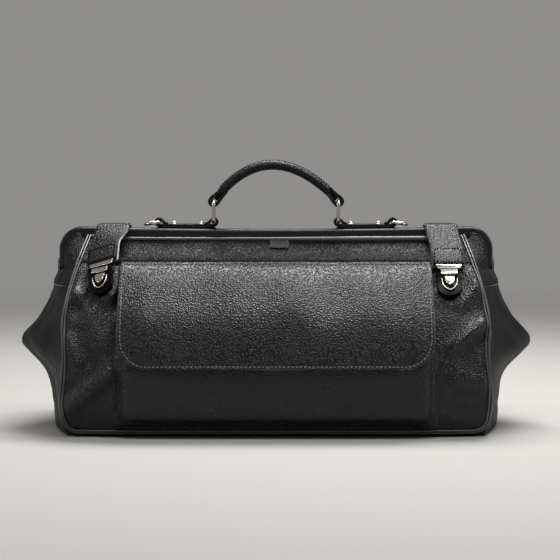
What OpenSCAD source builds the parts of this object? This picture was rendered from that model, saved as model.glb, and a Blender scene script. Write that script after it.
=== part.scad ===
// Frame-mouth doctor bag in black leather with nickel hardware, in millimetres.
// X runs along the bag, the front faces -Y, Z is up, and the origin is on the floor under the middle.

/* [Bag body] */
// Half depth of the bag at the floor
base_depth = 112; // [104:1:120]
// Half depth at the belly
belly_depth = 124; // [118:1:134]
// Height of the belly
belly_z = 60; // [50:1:66]
// Half depth at the seam between a panel and its yoke
seam_depth = 54; // [51:1:57]
// Height of the seam between a panel and its yoke
seam_z = 194; // [193:1:195]
// Half length of a panel at the floor
foot_len = 235; // [231:1:239]
// Half length of a panel at its longest
edge_len = 240; // [238:1:244]
// Height where a panel is longest
edge_z = 120; // [100:1:130]
// Half length of a yoke at its top edge
crown_len = 218; // [214:1:221]
// How far the ends of a panel turn back at the floor
end_round = 8; // [4:0.5:12]
// Thickness of the panel leather
wall = 3; // [2:0.1:3.5]
// Thickness of the base panel
base_t = 3; // [2:0.1:4]
// Thickness of the stiff board in the base
board_t = 2.5; // [1.5:0.1:4]
// Thickness of the lining
lining_t = 1; // [0.6:0.1:1.5]

/* [Gussets] */
// Half length of the bag at the gussets
end_len = 257; // [254:1:262]
// How far the folded wing of a gusset stands out
wing_out = 35; // [20:1:45]
// Height of the tip of the wing
wing_z = 97; // [90:1:105]
// Reach of the wing below its tip
wing_low = 25; // [18:1:30]
// Reach of the wing above its tip
wing_high = 36; // [24:1:40]
// Height of the gussets below the hinge pins
gusset_top = 165; // [158:1:165]

/* [Piping] */
// Diameter of the piping
pipe_d = 5; // [3:0.5:6]
// Corner radius of the piping at the floor
pipe_corner = 15; // [12:1:20]

/* [Jaws] */
// Half width of the jaws outside
jaw_half = 251; // [249:1:254]
// Height of the top of the jaws
jaw_top = 230; // [229:1:233]
// Corner radius of the jaws outside
jaw_r = 26; // [22:1:30]
// Face height of a jaw cover
band = 15; // [13:1:16]
// Depth of a jaw cover from front to back
cover_t = 12; // [10:0.5:13]
// Gap between the closed jaws
jaw_gap = 1; // [0.6:0.1:2]
// Face height of the steel bar in a jaw
bar_h = 8; // [6:0.5:9]
// Thickness of the steel bar in a jaw
bar_t = 3; // [2:0.1:4]
// Height of the hinge pins
pivot_z = 172; // [171:0.5:173]
// Height of the lower ends of the jaw covers
leg_bottom = 181; // [180:0.5:184]
// Diameter of a hinge pin
pin_d = 5; // [4:0.1:6]
// Thickness of a hinge eye
eye_t = 2; // [1.5:0.1:2.2]

/* [Pocket] */
// Half width of the pocket
pocket_half = 178; // [150:1:180]
// Height of the lower seam of the pocket
pocket_z = 14; // [12:1:20]
// Height of the pocket's mouth
pocket_top = 100; // [94:1:102]
// Room between the front panel and the pocket panel
pocket_gap = 12; // [11:0.5:14]
// Thickness of the pocket leather
pocket_t = 2.4; // [1.6:0.1:3]
// Half width of the flap
flap_half = 175; // [150:1:176]
// Height of the flap's sewn edge
flap_top = 192; // [190:0.5:193]
// Height of the flap's lower edge
flap_low = 76; // [70:1:84]
// Corner radius of the flap
flap_r = 31; // [20:1:40]
// Thickness of the flap leather
flap_t = 2.4; // [1.6:0.1:3]
// Diameter of the magnets under the flap
magnet_d = 16; // [10:1:18]
// Thickness of a magnet
magnet_t = 1.2; // [0.8:0.1:1.6]

/* [Handle] */
// Distance of the handle rings from the middle
ring_x = 72.5; // [66:0.5:78]
// Distance of the D-rings' bars from the middle
d_ring_x = 136; // [130:1:142]
// Diameter of the ring wire
wire_d = 4; // [3:0.1:4.6]
// Height of a handle ring between its bar centres
ring_h = 24; // [20:0.5:28]
// Width of a tab on the rear jaw
tab_w = 11; // [9:0.5:12]
// Thickness of the tab leather
tab_t = 2.7; // [2:0.1:3.2]
// Distance of the inner tab rivets from the middle
inner_rivet_x = 87; // [84:0.5:92]
// Distance of the outer tab rivets from the middle
outer_rivet_x = 119; // [110:0.5:123]
// Diameter of a rivet head
rivet_d = 7; // [5:0.5:9]
// Rise of the grip from its ends to its crown
grip_rise = 42; // [34:1:50]
// Diameter of the rolled grip
grip_d = 11; // [10:0.5:14]
// Thickness of the grip leather
grip_t = 1.7; // [1.2:0.1:2]
// Inside half width of a D-ring
d_ring_r = 10; // [8:0.5:12]
// Straight run of a D-ring before its arc
d_ring_run = 5; // [1:0.5:6]

/* [Straps and locks] */
// Distance of the straps from the middle
strap_x = 195; // [194:0.5:198]
// Width of a strap
strap_w = 36; // [28:1:37]
// Thickness of a strap
strap_t = 3; // [2:0.1:3.5]
// Height where a strap ends
strap_end_z = 182.5; // [181.5:0.5:184.5]
// Length of the stitched patch on a strap's end
patch_l = 26; // [18:1:32]
// Thickness of the patch
patch_t = 2; // [1.2:0.1:2.5]
// Height of the lock's middle
lock_z = 166; // [164:0.5:167]
// Width of a lock case
lock_w = 28; // [24:1:30]
// Width of a lock button
button_w = 12.5; // [10:0.5:13.5]
// Length of a lock button
button_l = 15; // [13:0.5:16]
// Travel of a lock button
button_travel = 1.5; // [1:0.1:1.8]
// Thickness of the lock tongue
tongue_t = 2.2; // [1.6:0.1:2.6]
// Twist of the left strap's end about its length, in degrees
left_twist = 20; // [0:1:22]

/* [Label] */
// Width of the bare label patch
label_w = 21; // [14:1:30]
// Height of the bare label patch
label_h = 15; // [8:1:18]
// Place of the label patch right of the middle
label_x = 3.5; // [-10:0.5:10]

/* [Fits] */
// Clearance between sewn neighbours
clear = 0.5; // [0.3:0.05:0.7]
// Radial clearance of a running pin
run_clear = 0.05; // [0.02:0.01:0.09]

/* [Hidden] */
$fn = 48;
leather = [0.06, 0.06, 0.065];
lining_tan = [0.35, 0.25, 0.17];
nickel = [0.75, 0.75, 0.74];
board_grey = [0.45, 0.42, 0.38];

// Cells along and up the leather shells, and sides of the tubes
panel_cols = 24;
panel_rows = 14;
gusset_cols = 16;
gusset_rows = 14;
shoulder_cols = 4;
shoulder_rows = 9;
tube_sides = 8;
pipe_r = pipe_d / 2;

// The yoke runs straight from the seam to the jaw's face
jaw_face = jaw_gap / 2 + cover_t;
yoke_top_z = jaw_top - 2 * band / 3;
yoke_lean = 0.6;
yoke_play = 0.7;
yoke_top_depth = jaw_face + wall * yoke_lean + 2 * clear + yoke_play;
yoke_run = seam_depth - yoke_top_depth;
yoke_rise = yoke_top_z - seam_z;
yoke_len = norm([yoke_run, yoke_rise]);
seam_lap = 0.2;
yoke_start = wall * seam_lap + clear;
shoulder_drop = 7;
shoulder_top_z = yoke_top_z - shoulder_drop;

// The steel bar runs in the middle of its cover
bar_y = jaw_gap / 2 + cover_t / 2;
bar_in = (band - bar_h) / 2;
eye_rim = 3;
eye_r = pin_d / 2 + eye_rim;
eye_in = 1.5;
eye_gap = 0.4;
front_eye_x = jaw_half - bar_in - bar_h + eye_in;
rear_eye_x = front_eye_x + eye_t + eye_gap;
head_t = 1.8;
head_gap = 0.3;
head_rim = 1.5;
pin_r = pin_d / 2;
neck_top = leg_bottom - 1;

// Tabs, rings and grip sit on the rear jaw
rivet_x = [inner_rivet_x, outer_rivet_x];
shank_r = 1.6;
wire_r = wire_d / 2;
loop_squeeze = 0.15;
loop_r = wire_r + run_clear + tab_t - loop_squeeze;
tab_gap = 0.3;
tab_z = jaw_top + tab_gap;
loop_z = tab_z + loop_r;
ring_play = 2.5;
ring_half = tab_w / 2 + wire_r + ring_play;
upper_z = loop_z + ring_h;
grip_r = grip_d / 2;
grip_crown = upper_z + grip_rise;
grip_lap = 0.5;
grip_end = ring_x - grip_d + grip_lap;
core_gap = 0.4;
ring_rest = 0.4;
d_ring_reach = d_ring_run + d_ring_r + wire_r;
d_ring_droop = asin((loop_z - jaw_top - ring_rest - wire_r) / d_ring_reach);

// The straps run over both jaws, then straight down to the locks
strap_gap = 0.8;
strap_z = jaw_top + strap_gap;
strap_front = -jaw_face - 1;
strap_back = jaw_face;
strap_bend = 6;
strap_lift = 5;
tang_t = 0.8;
tang_l = 12;
tang_gap = 0.2;
tongue_l = 7;
tongue_flare = 7;
tongue_bar_w = 20;
tongue_bar_l = 4;
anchor_l = jaw_top - yoke_top_z - 2 * clear - 1;
anchor_t = 2.4;
skin_t = 1.6;
flange_t = 1;
flange_w = 1.5;
flange_gap = 0.2;
cover_plate_t = 0.8;
spring_solid = 1.1;
lock_t = skin_t + flange_t + cover_plate_t + spring_solid + button_travel;
case_l = 34;
button_gap = 0.4;
rim_w = 2.2;
rim_h = 2;
button_top = button_l - 5.5;
lock_seat = 0.5;

// Flap and pocket stand off the front panel
magnet_gap = 0.5;
flap_step = 2 * magnet_t + 2.4;
flap_seat = 1.2;
flap_full = pocket_gap + pocket_t + flap_step;
seam_fade = 14;
magnet_z = (flap_low + pocket_top) / 2;

function lerp(a, b, t) = a + (b - a) * t;
function smooth(t) = let (u = min(1, max(0, t))) u * u * (3 - 2 * u);

// Half depth of a panel at a height, and its rate of change
function panel_depth(z) =
    z < belly_z
    ? belly_depth - (belly_depth - base_depth) * pow((belly_z - z) / belly_z, 4)
    : belly_depth - (belly_depth - seam_depth) * pow((z - belly_z) / (seam_z - belly_z), 2);
function panel_slope(z) =
    z < belly_z
    ? 4 * (belly_depth - base_depth) * pow((belly_z - z) / belly_z, 3) / belly_z
    : -2 * (belly_depth - seam_depth) * (z - belly_z) / pow(seam_z - belly_z, 2);
function slant(z) = sqrt(1 + pow(panel_slope(z), 2));

// Half length of a panel or yoke at a height
function edge_half(z) =
    z < edge_z
    ? edge_len - (edge_len - foot_len) * pow((edge_z - z) / edge_z, 4)
    : edge_len - (edge_len - crown_len) * pow((z - edge_z) / (yoke_top_z - edge_z), 1.5);
function end_pull(x, z) = end_round * max(0, 1 - z / seam_z) * pow(abs(x) / edge_half(z), 6);

// Point of the front panel's outside, moved out along its normal
function front_pt(x, z, off = 0) =
    let (d = panel_depth(z) - end_pull(x, z), n = slant(z))
    [x, -d - off / n, z - panel_slope(z) * off / n];
// Point of the front yoke's outside, a share of the way up
function yoke_pt(x, t, off = 0) =
    let (n = off / yoke_len)
    [x, -seam_depth + yoke_run * t - n * yoke_rise, seam_z + yoke_rise * t + n * yoke_run];

// Row heights shared by a shell and its lining, closer together near the floor, cut to a span
function panel_heights() = [for (i = [0:panel_rows]) seam_z * pow(i / panel_rows, 1.4)];
function gusset_heights() = [for (i = [0:gusset_rows]) gusset_top * i / gusset_rows];
function span(heights, low, high) =
    concat([low], [for (z = heights) if (z > low + 1 && z < high - 1) z], [high]);

// Gusset leather between the edges of the two panels
function tuck_depth(z) = panel_depth(z) - end_pull(edge_half(z), z) - wall * slant(z) - clear;
function wing(z) = wing_out * exp(-pow((z - wing_z) / (z < wing_z ? wing_low : wing_high), 2));
function gusset_x(y, z) =
    let (k = y / tuck_depth(z), e = edge_half(z) - wall / 2)
    e + (end_len - e) * (1 - k * k) + wing(z) * (1 + cos(180 * k)) / 2;
function gusset_pt(k, z, off, inset = 0) =
    let (y = k * (tuck_depth(z) - inset * slant(z)))
    [gusset_x(y, z) + off, y, z];

// Edges of a shoulder: along the panel and yoke, and along the jaw leg
function shoulder_inner(t) =
    let (z = lerp(gusset_top + clear, shoulder_top_z, t), s = (z - seam_z) / yoke_rise)
    let (d = z < seam_z ? tuck_depth(z) : seam_depth - yoke_run * s - wall * yoke_len / yoke_rise - clear)
    [edge_half(z) - wall / 2, -d, z];
function shoulder_outer(t) =
    let (y0 = -jaw_face * 0.7, z0 = gusset_top + clear, r = jaw_r - band + 1.5, y1 = -jaw_face - 1.7)
    let (leg = jaw_half - jaw_r + r, a = 70 * (3 * t - 2))
    t < 1 / 3 ? lerp([gusset_x(y0, z0), y0, z0], [leg, y1, leg_bottom + 3], 3 * t)
    : t < 2 / 3 ? lerp([leg, y1, leg_bottom + 3], [leg, y1, jaw_top - jaw_r], 3 * t - 1)
    : [jaw_half - jaw_r + r * cos(a), y1, jaw_top - jaw_r + r * sin(a)];
function shoulder_pt(s, t, off) =
    let (a = shoulder_inner(t), b = shoulder_outer(t))
    [lerp(a[0], b[0], 2 * s - s * s) + off, lerp(a[1], b[1], s), lerp(a[2], b[2], s)];

// Room between the front panel and the inside of the pocket or the flap
function pocket_off(x, z) =
    clear + (pocket_gap - clear)
    * smooth((pocket_half - abs(x)) / seam_fade) * smooth((z - pocket_z) / seam_fade);
function flap_off(z) = flap_seat + (flap_full - flap_seat) * smooth((flap_top - z) / (flap_top - pocket_top));

// Height of the grip's centre line
function grip_z(x) = grip_crown - grip_rise * pow(x / ring_x, 2);

// A strap's path in the plane of its middle: end at the lock, bend at the front jaw, back end
function twist(side) = side < 0 ? left_twist : 0;
function twist_lift(side) = lock_w / 2 * sin(twist(side));
function lean_from(e) = atan2(strap_front - e[1], strap_z - e[2]);
function strap_out(side, more) = front_pt(side * strap_x, strap_end_z, strap_lift + twist_lift(side) + more);
// A strap steeper than the panel at the lock stands off further, so that its tongue clears the lock
function tongue_dip(side) =
    (tongue_l + tongue_bar_l) * max(0, sin(-atan(panel_slope(lock_z)) - lean_from(strap_out(side, 0))));
function strap_end(side) = strap_out(side, tongue_dip(side));
function strap_lean(side) = lean_from(strap_end(side));
function strap_path(side) =
    let (e = strap_end(side), a = strap_lean(side), c = [side * strap_x, strap_front, strap_z])
    let (cut = strap_bend * tan((90 - a) / 2), foot = c - cut * [0, sin(a), cos(a)])
    let (hold = (patch_l + 3) / norm(foot - e))
    concat(
        [[e, a, twist(side)]],
        [for (i = [0:4]) [lerp(e, foot, lerp(hold, 1, i / 4)), a, twist(side) * (1 - i / 4)]],
        [for (i = [1:4])
            let (b = lerp(a, 90, i / 4))
            [foot + strap_bend * [0, cos(a) - cos(b), sin(b) - sin(a)], b, 0]],
        [[[side * strap_x, strap_back, strap_z], 90, 0]]
    );
function strap_row(p, up) =
    let (n = [0, -cos(p[1]), sin(p[1])], w = [cos(p[2]), 0, 0] + sin(p[2]) * n)
    let (m = cos(p[2]) * n - [sin(p[2]), 0, 0])
    [for (s = [-1, 1]) p[0] + s * strap_w / 2 * w + up * m];

// Centre line of a panel's piping: down one side, round the foot and up the other
function pipe_half(z) = edge_half(z) - pipe_r;
pipe_low = pipe_r + 4;
function pipe_side() =
    [for (i = [0:10]) let (z = lerp(seam_z - pipe_r, pipe_low + pipe_corner, i / 10)) [pipe_half(z), z]];
function pipe_turn() =
    [for (i = [1:5])
        let (a = 18 * i, z = pipe_low + pipe_corner)
        [pipe_half(z) - pipe_corner * (1 - cos(a)), z - pipe_corner * sin(a)]];
function pipe_foot() =
    let (x = pipe_half(pipe_low + pipe_corner) - pipe_corner)
    [for (i = [1:5]) [x * (1 - pow(i / 6, 1.5)), pipe_low]];
function pipe_right() = concat(pipe_side(), pipe_turn(), pipe_foot());
function pipe_flat() =
    let (r = pipe_right(), n = len(r))
    concat([for (i = [0:n - 1]) [-r[i][0], r[i][1]]], [for (i = [0:n - 1]) r[n - 1 - i]]);
function pipe_points() = [for (p = pipe_flat()) front_pt(p[0], p[1], pipe_r + clear)];

// Unit vectors across a tube at one of its points
function unit(v) = v / norm(v);
function tube_ring(pts, i, r, sides) =
    let (a = pts[max(0, i - 1)], b = pts[min(len(pts) - 1, i + 1)], t = unit(b - a))
    let (u = unit(cross(t, [0, 1, 0])), v = cross(t, u))
    [for (k = [0:sides - 1]) pts[i] + r * (cos(360 * k / sides) * u + sin(360 * k / sides) * v)];

// Closed shell between two grids of points, rows upwards and columns to the right seen from outside
module shell(outer, inner) {
    rows = len(outer);
    cols = len(outer[0]);
    n = rows * cols;
    points = concat([for (row = outer) each row], [for (row = inner) each row]);
    function at(i, j) = i * cols + j;
    faces = concat(
        [for (i = [0:rows - 2], j = [0:cols - 2]) [at(i, j), at(i + 1, j), at(i + 1, j + 1)]],
        [for (i = [0:rows - 2], j = [0:cols - 2]) [at(i, j), at(i + 1, j + 1), at(i, j + 1)]],
        [for (i = [0:rows - 2], j = [0:cols - 2]) [n + at(i, j), n + at(i + 1, j + 1), n + at(i + 1, j)]],
        [for (i = [0:rows - 2], j = [0:cols - 2]) [n + at(i, j), n + at(i, j + 1), n + at(i + 1, j + 1)]],
        [for (j = [0:cols - 2]) [at(0, j), at(0, j + 1), n + at(0, j + 1)]],
        [for (j = [0:cols - 2]) [at(0, j), n + at(0, j + 1), n + at(0, j)]],
        [for (j = [0:cols - 2]) [at(rows - 1, j + 1), at(rows - 1, j), n + at(rows - 1, j)]],
        [for (j = [0:cols - 2]) [at(rows - 1, j + 1), n + at(rows - 1, j), n + at(rows - 1, j + 1)]],
        [for (i = [0:rows - 2]) [at(i, cols - 1), at(i + 1, cols - 1), n + at(i + 1, cols - 1)]],
        [for (i = [0:rows - 2]) [at(i, cols - 1), n + at(i + 1, cols - 1), n + at(i, cols - 1)]],
        [for (i = [0:rows - 2]) [at(i + 1, 0), at(i, 0), n + at(i, 0)]],
        [for (i = [0:rows - 2]) [at(i + 1, 0), n + at(i, 0), n + at(i + 1, 0)]]
    );
    polyhedron(points, faces, convexity = 6);
}

// Round tube along points; a bore above zero makes it hollow
module tube(pts, r, bore = 0) {
    n = len(pts);
    sides = tube_sides;
    rings = [for (i = [0:n - 1]) tube_ring(pts, i, r, sides)];
    bores = [for (i = [0:n - 1]) tube_ring(pts, i, max(bore, r / 2), sides)];
    m = n * sides;
    function at(i, k) = i * sides + (k + sides) % sides;
    wall_faces = [for (i = [0:n - 2], k = [0:sides - 1], h = [0, 1])
        h == 0 ? [at(i, k), at(i + 1, k + 1), at(i, k + 1)] : [at(i, k), at(i + 1, k), at(i + 1, k + 1)]];
    last = n - 1;
    if (bore > 0)
        polyhedron(
            concat([for (ring = rings) each ring], [for (ring = bores) each ring]),
            concat(
                wall_faces,
                [for (f = wall_faces) [m + f[0], m + f[2], m + f[1]]],
                [for (k = [0:sides - 1]) [at(0, k), at(0, k + 1), m + at(0, k + 1)]],
                [for (k = [0:sides - 1]) [at(0, k), m + at(0, k + 1), m + at(0, k)]],
                [for (k = [0:sides - 1]) [at(last, k + 1), at(last, k), m + at(last, k)]],
                [for (k = [0:sides - 1]) [at(last, k + 1), m + at(last, k), m + at(last, k + 1)]]
            ),
            convexity = 8
        );
    else
        polyhedron(
            [for (ring = rings) each ring],
            concat(
                wall_faces,
                [for (k = [1:sides - 2]) [at(0, 0), at(0, k), at(0, k + 1)]],
                [for (k = [1:sides - 2]) [at(last, 0), at(last, k + 1), at(last, k)]]
            ),
            convexity = 8
        );
}

// Flat outline of the base inside the panels and gussets
module base_outline(inset) {
    d = wall + clear + inset;
    front = [for (i = [-panel_cols / 2:panel_cols / 2])
        let (x = 2 * i / panel_cols * (foot_len - wall / 2 - d)) [x, end_pull(x, 0) + d - base_depth]];
    side = [for (i = [-gusset_cols / 2:gusset_cols / 2])
        let (y = 2 * i / gusset_cols * (tuck_depth(0) - inset)) [gusset_x(y, 0) - d, y]];
    right = concat(front, side);
    polygon(concat(right, [for (p = right) -p]));
}

module base_panel() {
    color(leather) linear_extrude(base_t) base_outline(0);
}

module base_board() {
    inset = lining_t + clear + 1;
    color(board_grey) translate([0, 0, base_t + 0.2]) linear_extrude(board_t) base_outline(inset);
}

// Front panel, or its lining, from one height to another at an offset from the outside
module panel_shell(low, high, short, off, thick) {
    heights = span(panel_heights(), low, high);
    function row(z, o) =
        [for (j = [0:panel_cols]) front_pt((2 * j / panel_cols - 1) * (edge_half(z) - short), z, o)];
    shell([for (z = heights) row(z, off)], [for (z = heights) row(z, off - thick)]);
}

module front_panel() {
    color(leather) panel_shell(0, seam_z, 0, 0, wall);
}

module back_panel() {
    mirror([0, 1, 0]) front_panel();
}

module front_lining() {
    low = base_t + board_t + 3;
    color(lining_tan)
        panel_shell(low, seam_z - 3, 2 * wall + lining_t + 2 * clear, -wall - 2 * clear, lining_t);
}

module rear_lining() {
    mirror([0, 1, 0]) front_lining();
}

// Gusset at the right end, or its lining
module gusset_shell(low, high, inset, off, thick) {
    heights = span(gusset_heights(), low, high);
    function row(z, o) = [for (j = [0:gusset_cols]) gusset_pt(2 * j / gusset_cols - 1, z, o, inset)];
    shell([for (z = heights) row(z, off)], [for (z = heights) row(z, off - thick)]);
}

module right_gusset() {
    color(leather) gusset_shell(0, gusset_top, 0, 0, wall);
}

module left_gusset() {
    mirror([1, 0, 0]) right_gusset();
}

module right_lining() {
    low = base_t + board_t + 3;
    color(lining_tan)
        gusset_shell(low, gusset_top - 3, lining_t + 3 * clear, -wall - 2 * clear, lining_t);
}

module left_lining() {
    mirror([1, 0, 0]) right_lining();
}

module front_yoke() {
    first = yoke_start / yoke_len;
    rows = 3;
    function row(i, o) =
        let (t = lerp(first, 1, i / rows), half = edge_half(seam_z + yoke_rise * t))
        [for (j = [0:panel_cols]) yoke_pt((2 * j / panel_cols - 1) * half, t, o)];
    color(leather) shell([for (i = [0:rows]) row(i, 0)], [for (i = [0:rows]) row(i, -wall)]);
}

module rear_yoke() {
    mirror([0, 1, 0]) front_yoke();
}

module front_right_shoulder() {
    function row(t, o) = [for (j = [0:shoulder_cols]) shoulder_pt(j / shoulder_cols, t, o)];
    heights = [for (i = [0:shoulder_rows]) i / shoulder_rows];
    color(leather) shell([for (t = heights) row(t, 0)], [for (t = heights) row(t, -wall)]);
}

module front_left_shoulder() {
    mirror([1, 0, 0]) front_right_shoulder();
}

module rear_right_shoulder() {
    mirror([0, 1, 0]) front_right_shoulder();
}

module rear_left_shoulder() {
    mirror([1, 0, 0]) rear_right_shoulder();
}

module front_piping() {
    color(leather) tube(pipe_points(), pipe_r);
}

module rear_piping() {
    mirror([0, 1, 0]) front_piping();
}

module front_yoke_piping() {
    first = (yoke_start + pipe_r) / yoke_len;
    points = [for (i = [0:5])
        let (t = lerp(first, 1, i / 5)) yoke_pt(pipe_half(seam_z + yoke_rise * t), t, pipe_r + clear)];
    color(leather) {
        tube(points, pipe_r);
        mirror([1, 0, 0]) tube(points, pipe_r);
    }
}

module rear_yoke_piping() {
    mirror([0, 1, 0]) front_yoke_piping();
}

// Arch with round upper corners, standing on a level line
module arch(inset, bottom) {
    half = jaw_half - inset;
    r = jaw_r - inset;
    top = jaw_top - inset;
    translate([-half, bottom]) square([2 * half, top - r - bottom]);
    translate([r - half, bottom]) square([2 * (half - r), top - bottom]);
    for (side = [-1, 1]) translate([side * (half - r), top - r]) intersection() {
        circle(r);
        translate([-r, 0]) square([2 * r, r]);
    }
}

module jaw_band(outside, inside, bottom) {
    difference() {
        arch(outside, bottom);
        arch(inside, bottom - 1);
    }
}

// Stands a flat outline up in XZ, centred on a depth in Y
module upright(y, thick) {
    translate([0, y + thick / 2, 0]) rotate([90, 0, 0]) linear_extrude(thick) children();
}

// Bar of the front jaw, with hinge eyes that start at a distance from the middle
module jaw_bar(eye_x) {
    neck = [
        [-bar_y - bar_t / 2, neck_top], [-bar_y + bar_t / 2, neck_top],
        [0.5 * eye_r, pivot_z + 0.7 * eye_r], [-0.8 * eye_r, pivot_z - 0.5 * eye_r]
    ];
    color(nickel) difference() {
        union() {
            upright(-bar_y, bar_t) jaw_band(bar_in, bar_in + bar_h, neck_top - 2);
            for (x = [eye_x, -eye_x - eye_t]) translate([x, 0, 0]) rotate([90, 0, 90]) linear_extrude(eye_t) {
                polygon(neck);
                translate([0, pivot_z]) circle(eye_r);
            }
        }
        for (x = [eye_x, -eye_x - eye_t]) translate([x - 1, 0, pivot_z]) rotate([0, 90, 0])
            cylinder(r = pin_r + run_clear, h = eye_t + 2);
    }
}

module front_jaw_bar() {
    jaw_bar(front_eye_x);
}

module rear_jaw_bar() {
    mirror([0, 1, 0]) jaw_bar(rear_eye_x);
}

// Leather cover of the front jaw, hollow round its bar
module jaw_cover() {
    color(leather) difference() {
        upright(-bar_y, cover_t) jaw_band(0, band, leg_bottom);
        upright(-bar_y, bar_t + 2 * clear) jaw_band(bar_in - clear, bar_in + bar_h + clear, leg_bottom - 1);
    }
}

module front_jaw_cover() {
    jaw_cover();
}

module rear_jaw_cover() {
    difference() {
        mirror([0, 1, 0]) jaw_cover();
        for (side = [-1, 1], x = rivet_x) translate([side * x, bar_y, jaw_top - bar_in])
            cylinder(r = shank_r + run_clear, h = band);
    }
}

module right_hinge_pin() {
    low = front_eye_x - head_gap;
    high = rear_eye_x + eye_t + head_gap;
    color(nickel) translate([0, 0, pivot_z]) rotate([0, 90, 0]) {
        translate([0, 0, low]) cylinder(r = pin_r, h = high - low);
        for (x = [low - head_t, high]) translate([0, 0, x]) cylinder(r = pin_r + head_rim, h = head_t);
    }
}

module left_hinge_pin() {
    mirror([1, 0, 0]) right_hinge_pin();
}

module pocket_panel() {
    function row(i, o) =
        let (z = lerp(pocket_z, pocket_top, i / panel_rows))
        [for (j = [0:panel_cols])
            let (u = 2 * j / panel_cols - 1, x = pocket_half * sign(u) * (1 - pow(1 - abs(u), 1.6)))
            front_pt(x, z, pocket_off(x, z) + o)];
    color(leather) shell([for (i = [0:panel_rows]) row(i, pocket_t)], [for (i = [0:panel_rows]) row(i, 0)]);
}

// Half width of the flap at a height, with its round lower corners
function flap_edge(z) =
    let (up = z - flap_low)
    up > flap_r ? flap_half : flap_half - flap_r + sqrt(pow(flap_r, 2) - pow(flap_r - up, 2));

module pocket_flap() {
    turn = 6;
    heights = concat(
        [for (i = [0:turn]) flap_low + flap_r * (1 - cos(90 * i / turn))],
        [for (i = [1:panel_rows]) lerp(flap_low + flap_r, flap_top, i / panel_rows)]
    );
    function row(z, o) =
        [for (j = [0:panel_cols]) front_pt((2 * j / panel_cols - 1) * flap_edge(z), z, flap_off(z) + o)];
    color(leather) shell([for (z = heights) row(z, flap_t)], [for (z = heights) row(z, 0)]);
}

// Turns a thing lying in XY so that it lies on the front panel at a height
module on_front(x, z, off) {
    translate(front_pt(x, z, off)) rotate([90 + atan(panel_slope(z)), 0, 0]) children();
}

module pocket_magnet() {
    color(nickel) on_front(0, magnet_z, pocket_gap + pocket_t + magnet_gap)
        cylinder(d = magnet_d, h = magnet_t);
}

module flap_magnet() {
    color(nickel) on_front(0, magnet_z, flap_full - magnet_gap - magnet_t)
        cylinder(d = magnet_d, h = magnet_t);
}

module label_patch() {
    thick = 1.2;
    up = 1 - (label_h / 2 + 2) / yoke_len;
    color(leather) translate(yoke_pt(label_x, up, clear)) rotate([atan2(yoke_rise, yoke_run), 0, 0])
        translate([-label_w / 2, -label_h / 2, 0]) cube([label_w, label_h, thick]);
}

// Cylinder along Y, centred on the rear jaw
module cross_bar(x, z, r, length) {
    translate([x, bar_y + length / 2, z]) rotate([90, 0, 0]) cylinder(r = r, h = length);
}

module right_handle_tab() {
    color(leather) difference() {
        union() {
            translate([ring_x, bar_y - tab_w / 2, tab_z]) cube([d_ring_x - ring_x, tab_w, tab_t]);
            for (x = [ring_x, d_ring_x]) cross_bar(x, loop_z, loop_r, tab_w);
        }
        for (x = [ring_x, d_ring_x]) cross_bar(x, loop_z, wire_r + run_clear, tab_w + 2);
        for (x = rivet_x) translate([x, bar_y, tab_z - 1]) cylinder(r = shank_r + run_clear, h = tab_t + 2);
    }
}

module left_handle_tab() {
    mirror([1, 0, 0]) right_handle_tab();
}

module tab_rivets() {
    foot = jaw_top - bar_in + clear;
    head_z = tab_z + tab_t + run_clear;
    dome = rivet_d * 0.7;
    sink = sqrt(pow(dome, 2) - pow(rivet_d / 2, 2));
    color(nickel) for (side = [-1, 1], x = rivet_x) translate([side * x, bar_y, 0]) {
        translate([0, 0, foot]) cylinder(r = shank_r, h = head_z - foot);
        intersection() {
            translate([0, 0, head_z - sink]) sphere(dome);
            translate([0, 0, head_z]) cylinder(d = rivet_d, h = dome);
        }
    }
}

module right_handle_ring() {
    color(nickel) {
        for (z = [loop_z, upper_z]) cross_bar(ring_x, z, wire_r, 2 * ring_half);
        for (side = [-1, 1]) translate([ring_x, bar_y + side * ring_half, loop_z]) {
            cylinder(r = wire_r, h = ring_h);
            for (z = [0, ring_h]) translate([0, 0, z]) sphere(wire_r);
        }
    }
}

module left_handle_ring() {
    mirror([1, 0, 0]) right_handle_ring();
}

// Leather loop round the upper bar of a ring, with a stub into the grip
module right_handle_loop() {
    reach = [grip_end - ring_x, grip_z(grip_end) - upper_z];
    stub = norm(reach) - clear;
    color(leather) difference() {
        union() {
            cross_bar(ring_x, upper_z, loop_r, 2 * (ring_half - wire_r - 1));
            translate([ring_x, bar_y, upper_z]) rotate([0, 90 - atan2(reach[1], reach[0]), 0])
                cylinder(r = min(loop_r, grip_r), h = stub);
        }
        cross_bar(ring_x, upper_z, wire_r + run_clear, 3 * ring_half);
    }
}

module left_handle_loop() {
    mirror([1, 0, 0]) right_handle_loop();
}

function grip_points(short) =
    [for (i = [-8:8]) let (x = i / 8 * (grip_end - short)) [x, bar_y, grip_z(x)]];

module handle_grip() {
    color(leather) tube(grip_points(0), grip_r, grip_r - grip_t);
}

module handle_core() {
    color(board_grey) tube(grip_points(clear), grip_r - grip_t - core_gap);
}

module right_d_ring() {
    arc_r = d_ring_r + wire_r;
    color(nickel) translate([d_ring_x, bar_y, loop_z]) rotate([0, d_ring_droop, 0]) {
        translate([0, arc_r, 0]) rotate([90, 0, 0]) cylinder(r = wire_r, h = 2 * arc_r);
        for (side = [-1, 1]) translate([0, side * arc_r, 0]) {
            sphere(wire_r);
            rotate([0, 90, 0]) cylinder(r = wire_r, h = d_ring_run);
        }
        translate([d_ring_run, 0, 0]) rotate([0, 0, -90]) rotate_extrude(angle = 180)
            translate([arc_r, 0]) circle(wire_r);
    }
}

module left_d_ring() {
    mirror([1, 0, 0]) right_d_ring();
}

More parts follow.
